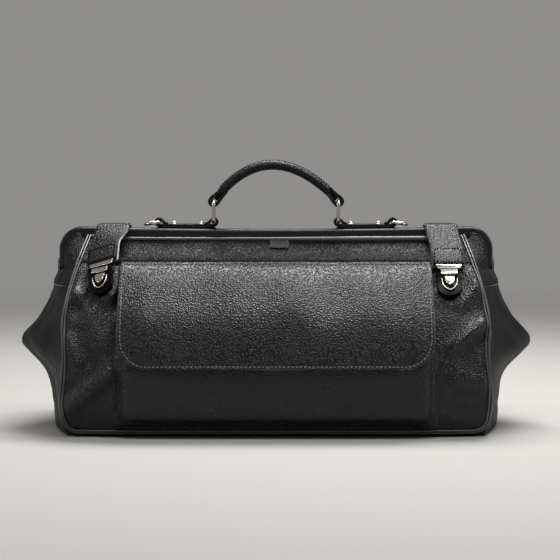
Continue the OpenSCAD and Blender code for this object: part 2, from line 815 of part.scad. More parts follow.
module strap(side) {
    path = strap_path(side);
    color(leather) shell([for (p = path) strap_row(p, strap_t)], [for (p = path) strap_row(p, 0)]);
}

module left_strap() {
    strap(-1);
}

module right_strap() {
    strap(1);
}

// Fixed end of a strap, sewn to the back of the rear jaw
module strap_anchor(side) {
    color(leather) translate([side * strap_x - strap_w / 2, jaw_face + clear, jaw_top - clear - anchor_l])
        cube([strap_w, anchor_t, anchor_l]);
}

module left_strap_anchor() {
    strap_anchor(-1);
}

module right_strap_anchor() {
    strap_anchor(1);
}

// Frame at a strap's end: X across, Y up the strap, Z out of it
module at_strap_end(side) {
    translate(strap_end(side)) rotate([90 - strap_lean(side), 0, 0]) rotate([0, -twist(side), 0]) children();
}

module strap_patch(side) {
    w = strap_w - 1;
    r = 6;
    low = strap_t + tang_t + 2 * tang_gap;
    color(leather) at_strap_end(side) translate([0, 0, low]) linear_extrude(patch_t) {
        translate([-w / 2, 1]) square([w, patch_l - r]);
        translate([r - w / 2, 1]) square([w - 2 * r, patch_l]);
        for (x = [-1, 1]) translate([x * (w / 2 - r), 1 + patch_l - r]) circle(r);
    }
}

module left_strap_patch() {
    strap_patch(-1);
}

module right_strap_patch() {
    strap_patch(1);
}

// Metal tongue under the patch, with a step towards the button
module lock_tongue(side) {
    top = lock_w + 1.5;
    step = top - tongue_flare;
    color(nickel) at_strap_end(side) translate([0, 0, strap_t + tang_gap]) {
        translate([-tongue_bar_w / 2, -0.5, 0]) cube([tongue_bar_w, tang_l, tang_t]);
        linear_extrude(tongue_t)
            polygon([[-step / 2, -tongue_l], [step / 2, -tongue_l], [top / 2, 0], [-top / 2, 0]]);
        translate([-tongue_bar_w / 2, -tongue_l - tongue_bar_l, 0.5])
            cube([tongue_bar_w, tongue_bar_l + 0.5, tongue_t - 0.5]);
    }
}

module left_lock_tongue() {
    lock_tongue(-1);
}

module right_lock_tongue() {
    lock_tongue(1);
}

// Frame at a lock's back: X across, Y up the panel, Z out of it
module at_lock(side) {
    on_front(side * strap_x, lock_z, lock_seat + twist_lift(side)) rotate([0, -twist(side), 0]) children();
}

module shield(w, top, length) {
    translate([0, top - length + w / 2]) circle(d = w);
    translate([-w / 2, top - length + w / 2]) square([w, length - w / 2]);
}

module button_outline(grow) {
    shield(button_w + 2 * grow, button_top + grow, button_l + 2 * grow);
}

module lock_case(side) {
    cavity = lock_t - skin_t;
    color(nickel) at_lock(side) difference() {
        union() {
            linear_extrude(lock_t) shield(lock_w, case_l / 2, case_l);
            translate([0, 0, lock_t - 1]) linear_extrude(rim_h + 1) intersection() {
                button_outline(button_gap + rim_w);
                translate([-lock_w / 2, -lock_w]) square([lock_w, lock_w + 2]);
            }
        }
        translate([0, 0, -1]) linear_extrude(cavity + 1) button_outline(flange_w + 0.3);
        linear_extrude(lock_t + rim_h + 1) button_outline(button_gap);
    }
}

module left_lock_case() {
    lock_case(-1);
}

module right_lock_case() {
    lock_case(1);
}

module lock_button(side) {
    flange_z = lock_t - skin_t - flange_t - flange_gap;
    color(nickel) at_lock(side) translate([0, 0, flange_z]) {
        linear_extrude(flange_t) button_outline(flange_w);
        linear_extrude(lock_t + rim_h - flange_z) button_outline(0);
    }
}

module left_lock_button() {
    lock_button(-1);
}

module right_lock_button() {
    lock_button(1);
}

// Return spring of a button, as a sleeve
module lock_spring(side) {
    length = lock_t - skin_t - flange_t - cover_plate_t - 2 * flange_gap;
    outer = button_w / 2 - 1;
    foot = cover_plate_t + flange_gap / 2;
    color(nickel) at_lock(side) translate([0, button_top - button_l / 2, foot]) difference() {
        cylinder(r = outer, h = length);
        translate([0, 0, -1]) cylinder(r = outer - 1, h = length + 2);
    }
}

module left_lock_spring() {
    lock_spring(-1);
}

module right_lock_spring() {
    lock_spring(1);
}

module lock_cover(side) {
    color(nickel) at_lock(side) linear_extrude(cover_plate_t) button_outline(flange_w + 0.1);
}

module left_lock_cover() {
    lock_cover(-1);
}

module right_lock_cover() {
    lock_cover(1);
}

base_panel();
base_board();
front_panel();
back_panel();
left_gusset();
right_gusset();
front_yoke();
rear_yoke();
front_left_shoulder();
front_right_shoulder();
rear_left_shoulder();
rear_right_shoulder();
front_piping();
rear_piping();
front_yoke_piping();
rear_yoke_piping();
front_lining();
rear_lining();
left_lining();
right_lining();
front_jaw_bar();
rear_jaw_bar();
front_jaw_cover();
rear_jaw_cover();
left_hinge_pin();
right_hinge_pin();
pocket_panel();
pocket_magnet();
pocket_flap();
flap_magnet();
label_patch();
left_handle_tab();
right_handle_tab();
tab_rivets();
left_handle_ring();
right_handle_ring();
left_handle_loop();
right_handle_loop();
handle_grip();
handle_core();
left_d_ring();
right_d_ring();
left_strap();
right_strap();
left_strap_anchor();
right_strap_anchor();
left_strap_patch();
right_strap_patch();
left_lock_tongue();
right_lock_tongue();
left_lock_case();
right_lock_case();
left_lock_button();
right_lock_button();
left_lock_spring();
right_lock_spring();
left_lock_cover();
right_lock_cover();
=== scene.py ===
"""Black leather doctor bag with a hinged frame mouth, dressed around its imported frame.

Shapes are worked out in millimetres in the frame of the part (X along the bag, -Y out of the front,
Z up) and turned to metres when a mesh is made.
"""

import logging
import math
from dataclasses import dataclass, field
from enum import Enum
from functools import lru_cache
from typing import Callable, Mapping, Optional, Sequence, Union

import bmesh
import bpy
import numpy as np
from bpy.types import Material, Mesh, Node, NodeSocket, NodeTree, Object
from mathutils import Matrix, Vector

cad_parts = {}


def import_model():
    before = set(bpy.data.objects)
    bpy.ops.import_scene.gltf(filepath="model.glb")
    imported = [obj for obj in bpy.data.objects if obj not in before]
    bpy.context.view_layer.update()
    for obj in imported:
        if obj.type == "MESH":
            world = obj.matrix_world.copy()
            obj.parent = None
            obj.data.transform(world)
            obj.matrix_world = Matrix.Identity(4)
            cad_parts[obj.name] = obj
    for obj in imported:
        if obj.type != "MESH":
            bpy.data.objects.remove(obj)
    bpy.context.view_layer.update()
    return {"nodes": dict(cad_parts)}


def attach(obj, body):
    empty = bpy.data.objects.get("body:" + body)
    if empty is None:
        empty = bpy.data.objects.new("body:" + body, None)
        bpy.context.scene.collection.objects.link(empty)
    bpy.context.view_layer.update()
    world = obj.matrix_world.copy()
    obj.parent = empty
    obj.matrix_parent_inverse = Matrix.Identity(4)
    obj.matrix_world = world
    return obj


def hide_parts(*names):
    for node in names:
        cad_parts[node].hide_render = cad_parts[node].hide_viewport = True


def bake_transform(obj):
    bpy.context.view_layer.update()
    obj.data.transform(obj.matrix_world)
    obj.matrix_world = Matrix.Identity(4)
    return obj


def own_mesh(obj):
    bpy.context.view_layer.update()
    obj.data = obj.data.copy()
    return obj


LOG = logging.getLogger("doctor_bag")
MM = 0.001
# Half a turn about the upright axis, from the front to the back, and a mirror from the right to the left.
TURN = np.array([-1.0, -1.0, 1.0])
MIRROR = np.array([-1.0, 1.0, 1.0])
UP = np.array([0.0, 0.0, 1.0])
ALONG = np.array([1.0, 0.0, 0.0])
ACROSS = np.array([0.0, 1.0, 0.0])

Array = np.ndarray
Surface = Callable[[Array, Array], Array]
Pair = tuple[float, float]
Place = tuple[float, float, float]


class Named(Enum):
    """A choice that the nodes of the frame have in their names, with its sign along an axis as value."""

    @property
    def word(self) -> str:
        """Name as the nodes of the frame have it."""
        return self.name.lower()


class Side(Named):
    """Left and right end of the bag, seen from the front."""

    LEFT = -1
    RIGHT = 1


class Face(Named):
    """Front and back of the bag."""

    FRONT = -1
    REAR = 1


def linear(colour: str) -> tuple[float, float, float, float]:
    """Turns an sRGB colour of six hex digits after a hash sign to linear RGBA."""
    parts = [int(colour[i:i + 2], 16) / 255 for i in (1, 3, 5)]
    return (*[c / 12.92 if c <= 0.04045 else ((c + 0.055) / 1.055) ** 2.4 for c in parts], 1.0)


def add(tree: NodeTree, kind: str, inputs: Optional[dict] = None, **settings: object) -> Node:
    """Adds a node with its settings, values and links.

    Args:
        tree: Node tree that gets the node.
        kind: Type name of the node.
        inputs: Socket name or number to a value, or to the output socket that feeds it.
        **settings: Properties of the node.

    Returns:
        The new node.
    """
    node = tree.nodes.new(kind)
    for key, value in settings.items():
        setattr(node, key, value)
    for key, value in (inputs or {}).items():
        if isinstance(value, NodeSocket):
            tree.links.new(value, node.inputs[key])
        else:
            node.inputs[key].default_value = value
    return node


def new_material(name: str) -> tuple[Material, NodeTree, Node]:
    """Makes an empty node material.

    Args:
        name: Name of the material.

    Returns:
        The material, its tree and its Principled shader.
    """
    material = bpy.data.materials.new(name)
    material.use_nodes = True
    tree = material.node_tree
    tree.nodes.clear()
    shader = add(tree, "ShaderNodeBsdfPrincipled")
    add(tree, "ShaderNodeOutputMaterial", {"Surface": shader.outputs[0]})
    return material, tree, shader


@dataclass(frozen=True)
class PebbledLeather:
    """Drum-tumbled cowhide, dyed black and sealed: round pebbles with valleys painted darker as shade, and a soft
    gloss.
    """

    name: str
    crown: str = "#141416"
    valley: str = "#070708"
    roughness: float = 0.31
    pebble_mm: float = 2.2
    relief_mm: float = 0.6
    gloss: float = 0.46
    patch_mm: float = 45.0

    def build(self) -> Material:
        """Makes the material. Pebbles of 2 mm are drawn a little coarser, so that they show in the render.

        Returns:
            The material, duller and glossier in patches of the hide.
        """
        material, tree, shader = new_material(self.name)
        place = add(tree, "ShaderNodeTexCoord").outputs["Object"]
        per_m = 1 / (self.pebble_mm * MM)
        drift = add(tree, "ShaderNodeTexNoise", {"Vector": place, "Scale": per_m / 5, "Detail": 2.0})
        centred = add(tree, "ShaderNodeVectorMath", {0: drift.outputs["Color"], 1: (0.5,) * 3}, operation="SUBTRACT")
        push = (0.45 * self.pebble_mm * MM,) * 3
        pushed = add(tree, "ShaderNodeVectorMath", {0: centred.outputs[0], 1: push, 2: place},
                     operation="MULTIPLY_ADD")
        cells = add(tree, "ShaderNodeTexVoronoi", {
            "Vector": pushed.outputs[0], "Scale": per_m, "Smoothness": 0.35, "Randomness": 0.85}, feature="SMOOTH_F1")
        pebble = add(tree, "ShaderNodeMapRange", {
            "Value": cells.outputs["Distance"], "From Min": 0.12, "From Max": 0.62, "To Min": 1.0, "To Max": 0.0})
        pores = add(tree, "ShaderNodeTexNoise", {"Vector": place, "Scale": per_m * 2.5, "Detail": 3.0})
        height = add(tree, "ShaderNodeMath", {0: pores.outputs[0], 1: 0.25, 2: pebble.outputs[0]},
                     operation="MULTIPLY_ADD")
        grain = add(tree, "ShaderNodeBump", {
            "Height": height.outputs[0], "Distance": self.relief_mm * MM, "Strength": 1.0})
        hide = add(tree, "ShaderNodeTexNoise", {"Vector": place, "Scale": 1 / (self.patch_mm * MM), "Detail": 3.0})
        # Colour: darker in random patches of the hide, its own tone, and darker in the valleys between pebbles as
        # painted shade.
        hide_tone_and_valley_shade = add(tree, "ShaderNodeMath", {0: hide.outputs[0], 1: pebble.outputs[0]}, operation="MULTIPLY")
        tint = add(tree, "ShaderNodeMix", {
            "Factor": hide_tone_and_valley_shade.outputs[0], 6: linear(self.valley), 7: linear(self.crown)}, data_type="RGBA")
        gloss = add(tree, "ShaderNodeMapRange", {
            "Value": hide.outputs[0], "From Min": 0.3, "From Max": 0.7, "To Min": self.roughness - 0.05,
            "To Max": self.roughness + 0.07})
        tree.links.new(tint.outputs[2], shader.inputs["Base Color"])
        tree.links.new(gloss.outputs[0], shader.inputs["Roughness"])
        tree.links.new(grain.outputs[0], shader.inputs["Normal"])
        shader.inputs["IOR"].default_value = 1.5
        shader.inputs["Specular IOR Level"].default_value = self.gloss
        return material


@dataclass(frozen=True)
class Mottled:
    """A finish whose surface is broken up by one noise: plated metal, edge paint, thread, suede or board."""

    name: str
    light: str
    dark: str
    roughness: float
    spread: float = 0.05
    grit_mm: float = 1.0
    relief_mm: float = 0.0
    metallic: float = 0.0
    sheen: float = 0.0
    shine: float = 0.5
    stretch: Place = (1.0, 1.0, 1.0)

    def build(self) -> Material:
        """Makes the material.

        Returns:
            The material, with relief if the finish has any.
        """
        material, tree, shader = new_material(self.name)
        place = add(tree, "ShaderNodeTexCoord").outputs["Object"]
        drawn = add(tree, "ShaderNodeMapping", {"Vector": place, "Scale": self.stretch})
        grit = add(tree, "ShaderNodeTexNoise", {
            "Vector": drawn.outputs[0], "Scale": 1 / (self.grit_mm * MM), "Detail": 4.0})
        tint = add(tree, "ShaderNodeMix", {
            "Factor": grit.outputs[0], 6: linear(self.dark), 7: linear(self.light)}, data_type="RGBA")
        gloss = add(tree, "ShaderNodeMapRange", {
            "Value": grit.outputs[0], "From Min": 0.3, "From Max": 0.7,
            "To Min": max(0.03, self.roughness - self.spread), "To Max": self.roughness + self.spread})
        tree.links.new(tint.outputs[2], shader.inputs["Base Color"])
        tree.links.new(gloss.outputs[0], shader.inputs["Roughness"])
        shader.inputs["Metallic"].default_value = self.metallic
        shader.inputs["Sheen Weight"].default_value = self.sheen
        shader.inputs["Specular IOR Level"].default_value = self.shine
        if self.relief_mm:
            rough = add(tree, "ShaderNodeBump", {"Height": grit.outputs[0], "Distance": self.relief_mm * MM})
            tree.links.new(rough.outputs[0], shader.inputs["Normal"])
        return material


@dataclass(frozen=True)
class Twill:
    """Woven cotton lining: warp and weft cross at right angles and leave a fine diagonal rib."""

    name: str
    warp: str = "#5b4631"
    weft: str = "#3d2e20"
    thread_mm: float = 1.6

    def build(self) -> Material:
        """Makes the material. Threads of half a millimetre are drawn at 1.6 mm, so that they show.

        Returns:
            The material, which follows the map of the weave.
        """
        material, tree, shader = new_material(self.name)
        uv = add(tree, "ShaderNodeUVMap", uv_map="weave").outputs[0]
        per_m = 1 / (self.thread_mm * MM)
        ribs = [add(tree, "ShaderNodeTexWave", {"Vector": uv, "Scale": per_m / 20 * math.pi, "Distortion": 0.4},
                    bands_direction=way) for way in ("X", "Y", "DIAGONAL")]
        cross = add(tree, "ShaderNodeMath", {0: ribs[0].outputs[1], 1: ribs[1].outputs[1]}, operation="MULTIPLY")
        weave = add(tree, "ShaderNodeMath", {0: ribs[2].outputs[1], 1: 0.5, 2: cross.outputs[0]},
                    operation="MULTIPLY_ADD")
        tint = add(tree, "ShaderNodeMix", {
            "Factor": weave.outputs[0], 6: linear(self.weft), 7: linear(self.warp)}, data_type="RGBA")
        ribbed = add(tree, "ShaderNodeBump", {"Height": weave.outputs[0], "Distance": 0.2 * MM})
        tree.links.new(tint.outputs[2], shader.inputs["Base Color"])
        tree.links.new(ribbed.outputs[0], shader.inputs["Normal"])
        shader.inputs["Roughness"].default_value = 0.85
        shader.inputs["Sheen Weight"].default_value = 0.2
        return material


class Finishes:
    """All finishes of the bag, made once."""

    def __init__(self) -> None:
        """Makes the materials."""
        # Sealed cowhide of the panels, the pocket and the flap: each pebble has its own small highlight.
        self.leather = PebbledLeather("black_pebbled_cowhide").build()
        # The same hide on the yokes, rubbed dull: its pebbles show by their shade alone.
        self.yoke = PebbledLeather("black_yoke_cowhide", roughness=0.38, gloss=0.12).build()
        # Pressed cowhide of the straps, tabs and grip: flatter pebbles and a quiet gloss.
        self.trim = PebbledLeather("black_trim_cowhide", roughness=0.34, pebble_mm=2.0, relief_mm=0.36,
                                   gloss=0.3).build()
        # Calf drawn tight over the jaws: almost smooth, with one long highlight along the rail.
        self.fine = PebbledLeather("black_frame_calf", roughness=0.34, pebble_mm=1.8, relief_mm=0.1).build()
        # Slack cowhide of the gussets and shoulders: matt, so that its folds stay dark.
        self.soft = PebbledLeather("black_gusset_cowhide", roughness=0.5, gloss=0.2).build()
        # Thin leather rolled round a cord, its black painted light grey as a highlight: a pale line along each seam.
        self.piping = PebbledLeather("black_piping_skiver", crown="#4c4c52", valley="#34343a", roughness=0.38,
                                     pebble_mm=1.6, relief_mm=0.08, gloss=1.0).build()
        # Plain calf of the patch: an even, dull black.
        self.label = PebbledLeather("black_label_calf", crown="#19191b", valley="#101012", roughness=0.46,
                                    pebble_mm=1.4, relief_mm=0.06, gloss=0.15).build()
        # Painted cut edges, lighter than their black paint as a painted highlight along the rims: a dark grey outline
        # with a little gloss.
        self.edge = Mottled("edge_paint_black", "#44444a", "#2a2a2f", 0.34, grit_mm=2.0, relief_mm=0.05).build()
        # Flesh side of the hide: fibrous, with a soft sheen and no highlight.
        self.suede = Mottled("flesh_side_suede", "#2c2a29", "#191818", 0.92, grit_mm=0.8, relief_mm=0.2,
                             sheen=0.3).build()
        # Waxed linen thread, twisted: grey on the flap's hem, where each stitch stands out.
        self.thread = Mottled("waxed_thread_grey", "#a9a9ae", "#6d6d72", 0.55, grit_mm=0.5, relief_mm=0.1).build()
        # The same thread in dark grey: stitches that just show on the straps and the patch.
        self.grey_thread = Mottled("waxed_thread_dark_grey", "#717177", "#4a4a4f", 0.55, grit_mm=0.5,
                                   relief_mm=0.1).build()
        # The same thread in black: stitches that show by their relief.
        self.dark_thread = Mottled("waxed_thread_black", "#3a3a3e", "#1d1d20", 0.55, grit_mm=0.5,
                                   relief_mm=0.1).build()
        # Black thread, so matt that it catches no light: thick stitches that also paint the shaded groove round the
        # patch.
        self.black_thread = Mottled("matt_thread_black", "#0d0d0e", "#060607", 0.9, grit_mm=0.5, relief_mm=0.1,
                                    shine=0.05).build()
        # Nickel plate, polished: a warm mirror, broken a little by handling.
        self.nickel = Mottled("polished_nickel_plate", "#dcd9d2", "#c9c5bc", 0.13, 0.04, grit_mm=6.0,
                              metallic=1.0).build()
        # Black nickel plate: a dark mirror, so that the bright button stands out from its case.
        self.gunmetal = Mottled("black_nickel_plate", "#242323", "#151515", 0.24, 0.05, grit_mm=5.0,
                                metallic=1.0).build()
        # Drawn steel: grey, with fine streaks along the bar.
        self.steel = Mottled("drawn_steel_bar", "#8d8d8c", "#6f6f70", 0.38, 0.08, grit_mm=1.5, metallic=1.0,
                             stretch=(0.05, 1.0, 1.0)).build()
        # Woven cotton: brown and matt, with a rib.
        self.twill = Twill("cotton_twill_lining").build()
        # Pressed fibre: brown, coarse and dry.
        self.board = Mottled("pressed_fibre_board", "#8d7a60", "#5d5040", 0.9, grit_mm=3.0, relief_mm=0.3).build()
        # Twisted jute: straw-coloured and rough.
        self.core = Mottled("twisted_jute_core", "#a08d6d", "#6d5f48", 0.95, grit_mm=1.2, relief_mm=0.4).build()


def arrays(*values: Array) -> list[Array]:
    """Numbers and arrays as arrays of one shape."""
    return np.broadcast_arrays(*[np.asarray(value, float) for value in values])


def unit(vectors: Array) -> Array:
    """Vectors at length 1, along the last axis."""
    return vectors / np.maximum(np.linalg.norm(vectors, axis=-1, keepdims=True), 1e-9)


def smooth(share: Array) -> Array:
    """Smooth step from 0 to 1, held outside that range."""
    t = np.clip(share, 0.0, 1.0)
    return t * t * (3 - 2 * t)


def bump(x: Array, at: float, run: float) -> Array:
    """Bell curve of height 1 round a place."""
    return np.exp(-((x - at) / run) ** 2)


def both_halves(x: Array, z: Array) -> tuple[Array, Array]:
    """One half of a line, up to its middle, and its mirror image after it."""
    return np.concatenate([x, -x[-2::-1]]), np.concatenate([z, z[-2::-1]])


def ripple(a: Array, b: Array, size: float, seed: int) -> Array:
    """Smooth unevenness of soft leather.

    Args:
        a: First place on the piece, in millimetres.
        b: Second place on the piece.
        size: Typical width of a bump.
        seed: Number that fixes the pattern.

    Returns:
        Heights between about -1 and 1.
    """
    draw = np.random.RandomState(seed)
    total = np.zeros(np.broadcast(a, b).shape)
    for _ in range(9):
        angle, phase = draw.uniform(0, 2 * math.pi, 2)
        wave = 2 * math.pi / (size * draw.uniform(1.4, 2.8))
        total += np.sin(wave * (a * math.cos(angle) + b * math.sin(angle)) + phase)
    return total / 4.5


@dataclass(frozen=True)
class Fold:
    """A crease in leather between two places of a piece, in millimetres.

    A positive height stands out. The lip is the share of it that dips beside the fold.
    """

    start: Pair
    end: Pair
    width: float
    height: float
    lip: float = 0.5

    def lift(self, a: Array, b: Array) -> Array:
        """Height of the fold.

        Args:
            a: First place on the piece.
            b: Second place on the piece.

        Returns:
            Heights in millimetres.
        """
        run = np.subtract(self.end, self.start)
        length = float(np.hypot(*run))
        along = ((a - self.start[0]) * run[0] + (b - self.start[1]) * run[1]) / length ** 2
        aside = ((b - self.start[1]) * run[0] - (a - self.start[0]) * run[1]) / length / self.width
        fade = smooth(along / 0.3 + 0.3) * smooth((1 - along) / 0.3 + 0.3)
        return self.height * fade * (np.exp(-aside ** 2) - self.lip * np.exp(-(aside - 1.8) ** 2))


def folded(folds: Sequence[Fold], a: Array, b: Array) -> Array:
    """Height of all folds together at places a and b of a piece, in millimetres."""
    return sum((f.lift(a, b) for f in folds), np.zeros(np.broadcast(a, b).shape))


@dataclass(frozen=True)
class BagForm:
    """Outer form of the bag in millimetres, which its leather pieces share."""

    base_depth: float = 112.0
    belly_depth: float = 124.0
    belly_z: float = 60.0
    seam_depth: float = 54.0
    seam_z: float = 194.0
    foot_len: float = 235.0
    edge_len: float = 240.0
    edge_z: float = 120.0
    crown_len: float = 218.0
    end_round: float = 8.0
    wall: float = 3.0
    yoke_top_z: float = 220.0
    yoke_top_depth: float = 16.0
    end_len: float = 257.0
    wing_out: float = 35.0
    wing_z: float = 97.0
    wing_low: float = 25.0
    wing_high: float = 36.0
    gusset_top: float = 165.0
    waist: float = 3.0
    waist_at: Pair = (92.0, 26.0)
    hip_at: Pair = (38.0, 22.0)
    foot_roll: float = 7.0
    rail_sag: float = 3.0
    rail_half: float = 215.0
    welt_drop: float = 3.0
    welt_run: float = 24.0
    jaw_top: float = 230.0
    bar_y: float = 6.5
    lock_x: float = 195.0
    lock_z: float = 166.0
    lock_twist: float = 20.0
    clear: float = 0.5

    @property
    def yoke_len(self) -> float:
        """Length of the yoke from the seam to its top edge."""
        return math.hypot(self.seam_depth - self.yoke_top_depth, self.yoke_top_z - self.seam_z)

    def depth(self, z: Array) -> Array:
        """Half depth of a panel, fullest at the belly.

        Args:
            z: Heights.

        Returns:
            Half depths.
        """
        low = (np.clip(self.belly_z - z, 0, None) / self.belly_z) ** 4 * (self.belly_depth - self.base_depth)
        high = (np.clip(z - self.belly_z, 0, None) / (self.seam_z - self.belly_z)) ** 2
        return self.belly_depth - low - high * (self.belly_depth - self.seam_depth)

    def slope(self, z: Array) -> Array:
        """Change of a panel's half depth with its height z."""
        step = 0.25
        return (self.depth(z + step) - self.depth(z - step)) / (2 * step)

    def edge(self, z: Array) -> Array:
        """Half length of a panel or yoke, drawn in a little at the waist.

        Args:
            z: Heights.

        Returns:
            Half lengths.
        """
        low = (np.clip(self.edge_z - z, 0, None) / self.edge_z) ** 4 * (self.edge_len - self.foot_len)
        high = (np.clip(z - self.edge_z, 0, None) / (self.yoke_top_z - self.edge_z)) ** 1.5
        drawn = self.waist * (0.7 * bump(z, *self.hip_at) - bump(z, *self.waist_at))
        return self.edge_len - low - high * (self.edge_len - self.crown_len) + drawn

    def pull(self, x: Array, z: Array) -> Array:
        """How far the ends of a panel turn back."""
        return self.end_round * np.clip(1 - z / self.seam_z, 0, None) * (np.abs(x) / self.edge(z)) ** 6

    def front(self, x: Array, z: Array, off: Array = 0.0) -> Array:
        """Points of the front panel's outside.

        Args:
            x: Places along the bag.
            z: Heights.
            off: Distance out of the panel, along its normal.

        Returns:
            Points, with X, Y and Z on the last axis.
        """
        x, z, off = arrays(x, z, off)
        slope = self.slope(z)
        slant = np.sqrt(1 + slope ** 2)
        d = self.depth(z) - self.pull(x, z)
        return np.stack([x, -d - off / slant, z - slope * off / slant], -1)

    def yoke(self, x: Array, run: Array, off: Array = 0.0) -> Array:
        """Points of the front yoke's outside.

        Args:
            x: Places along the bag.
            run: Distance up the yoke from the seam.
            off: Distance out of the yoke.

        Returns:
            Points of the yoke.
        """
        x, run, off = arrays(x, run, off)
        back = (self.seam_depth - self.yoke_top_depth) / self.yoke_len
        rise = (self.yoke_top_z - self.seam_z) / self.yoke_len
        return np.stack([x, -self.seam_depth + back * run - rise * off, self.seam_z + rise * run + back * off], -1)

    def yoke_z(self, run: Array) -> Array:
        """Height of a place on the yoke."""
        return self.seam_z + run * (self.yoke_top_z - self.seam_z) / self.yoke_len

    def sag(self, x: Array) -> Array:
        """Drop of a rail between its corners."""
        return self.rail_sag * np.clip(1 - (np.asarray(x) / self.rail_half) ** 2, 0, None) ** 0.8

    def drop(self, x: Array) -> Array:
        """Drop of a yoke's upper edge below the corners of its jaw."""
        return self.welt_drop * smooth((self.crown_len - np.abs(x)) / self.welt_run) + 0.3 * self.sag(x)

    def tuck(self, z: Array) -> Array:
        """Half depth between the panels, where a gusset is sewn in."""
        slant = np.sqrt(1 + self.slope(z) ** 2)
        return self.depth(z) - self.pull(self.edge(z), z) - self.wall * slant - self.clear

    def gusset(self, k: Array, z: Array) -> Array:
        """Points of the right gusset's outside.

        Args:
            k: Share of the way from the middle to a panel, from -1 to 1.
            z: Heights.

        Returns:
            Points of the gusset.
        """
        k, z = arrays(k, z)
        reach = np.where(z < self.wing_z, self.wing_low, self.wing_high)
        wing = self.wing_out * bump(z, self.wing_z, reach)
        e = self.edge(z) - self.wall / 2
        x = e + (self.end_len - e) * (1 - k * k) + wing * (1 + np.cos(math.pi * k)) / 2
        return np.stack([x, k * self.tuck(z), z], -1)


def link(name: str, mesh: Mesh) -> Object:
    """Puts a mesh in the scene as an object at the origin.

    Args:
        name: Name of the object.
        mesh: Its mesh.

    Returns:
        The object.
    """
    piece = bpy.data.objects.new(name, mesh)
    bpy.context.scene.collection.objects.link(piece)
    return piece


def shade(mesh: Mesh, sharp: float) -> None:
    """Shades a mesh smooth, but for edges that are sharper than an angle in degrees."""
    mesh.polygons.foreach_set("use_smooth", np.ones(len(mesh.polygons), bool))
    mesh.set_sharp_from_angle(angle=math.radians(sharp))


def mesh_object(name: str, points: Array, faces: list, materials: Sequence[Material],
                indices: Optional[Sequence[int]] = None, sharp: float = 50.0) -> Object:
    """Makes an object from points and faces.

    Args:
        name: Name of the piece.
        points: Points in millimetres.
        faces: Point numbers of each face.
        materials: Material slots.
        indices: Material slot of each face.
        sharp: Angle in degrees above which an edge stays sharp.

    Returns:
        The object, with its faces pointing outwards.
    """
    mesh = bpy.data.meshes.new(name)
    mesh.from_pydata((np.asarray(points).reshape(-1, 3) * MM).tolist(), [], faces)
    for material in materials:
        mesh.materials.append(material)
    if indices is not None:
        mesh.polygons.foreach_set("material_index", np.asarray(indices, np.int32))
    work = bmesh.new()
    work.from_mesh(mesh)
    bmesh.ops.recalc_face_normals(work, faces=work.faces)
    work.to_mesh(mesh)
    work.free()
    shade(mesh, sharp)
    mesh.update()
    return link(name, mesh)


def normals(surface: Surface, a: Array, b: Array, step: Pair = (0.4, 0.4)) -> Array:
    """Normals of a surface.

    Args:
        surface: The surface.
        a: First place of each point.
        b: Second place of each point.
        step: Small steps over which the normals are taken.

    Returns:
        Directions of length 1.
    """
    across = surface(a + step[0], b) - surface(a - step[0], b)
    upward = surface(a, b + step[1]) - surface(a, b - step[1])
    return unit(np.cross(across, upward))


@dataclass
class Hide:
    """A piece of leather or cloth cut from a surface, with thickness and a rounded edge."""

    name: str
    surface: Surface
    a: Array
    b: Array
    thick: float
    outside: Material
    inside: Material
    edge: Material
    step: Pair = (0.4, 0.4)

    def build(self) -> Object:
        """Makes the piece.

        Returns:
            The object, with the outside, the inside and the edge in their materials and a map of its weave.
        """
        outer = self.surface(self.a, self.b)
        out = normals(self.surface, self.a, self.b, self.step)
        inner = outer - out * self.thick
        rows, cols = self.a.shape
        number = np.arange(rows * cols).reshape(rows, cols)
        loop = np.concatenate([number[0, :-1], number[:-1, -1], number[-1, :0:-1], number[:0:-1, 0]])
        flat, low = outer.reshape(-1, 3), inner.reshape(-1, 3)
        middle = (flat + low) / 2
        away = np.zeros_like(middle).reshape(rows, cols, 3)
        away[0] += unit(outer[0] - outer[1])
        away[-1] += unit(outer[-1] - outer[-2])
        away[:, 0] += unit(outer[:, 0] - outer[:, 1])
        away[:, -1] += unit(outer[:, -1] - outer[:, -2])
        rim = middle[loop] + unit(away.reshape(-1, 3)[loop]) * self.thick * 0.45
        n = rows * cols
        quads = np.stack([number[:-1, :-1], number[:-1, 1:], number[1:, 1:], number[1:, :-1]], -1).reshape(-1, 4)
        ring = np.arange(len(loop)) + 2 * n
        after = np.roll(loop, -1)
        ring_after = np.roll(ring, -1)
        faces = np.concatenate([
            quads, quads[:, ::-1] + n,
            np.stack([loop, ring, ring_after, after], -1),
            np.stack([ring, loop + n, after + n, ring_after], -1),
        ])
        kinds = [0] * len(quads) + [1] * len(quads) + [2] * (2 * len(loop))
        piece = mesh_object(self.name, np.concatenate([flat, low, rim]), faces.tolist(),
                            [self.outside, self.inside, self.edge], kinds, sharp=60.0)
        self.map_weave(piece.data, outer, loop)
        return piece

    @staticmethod
    def map_weave(mesh: Mesh, outer: Array, loop: Array) -> None:
        """Gives a mesh a map in metres along and up the piece.

        Args:
            mesh: Mesh of the piece.
            outer: Grid of its outside.
            loop: Numbers of the points on its edge.
        """
        u = np.zeros(outer.shape[:2])
        v = np.zeros(outer.shape[:2])
        u[:, 1:] = np.cumsum(np.linalg.norm(np.diff(outer, axis=1), axis=-1), 1)
        v[1:] = np.cumsum(np.linalg.norm(np.diff(outer, axis=0), axis=-1), 0)
        place = np.stack([u, v], -1).reshape(-1, 2) * MM
        place = np.concatenate([place, place, place[loop]])
        layer = mesh.uv_layers.new(name="weave")
        corner = np.zeros(len(mesh.loops), np.int32)
        mesh.loops.foreach_get("vertex_index", corner)
        layer.data.foreach_set("uv", place[corner].astype(np.float32).ravel())


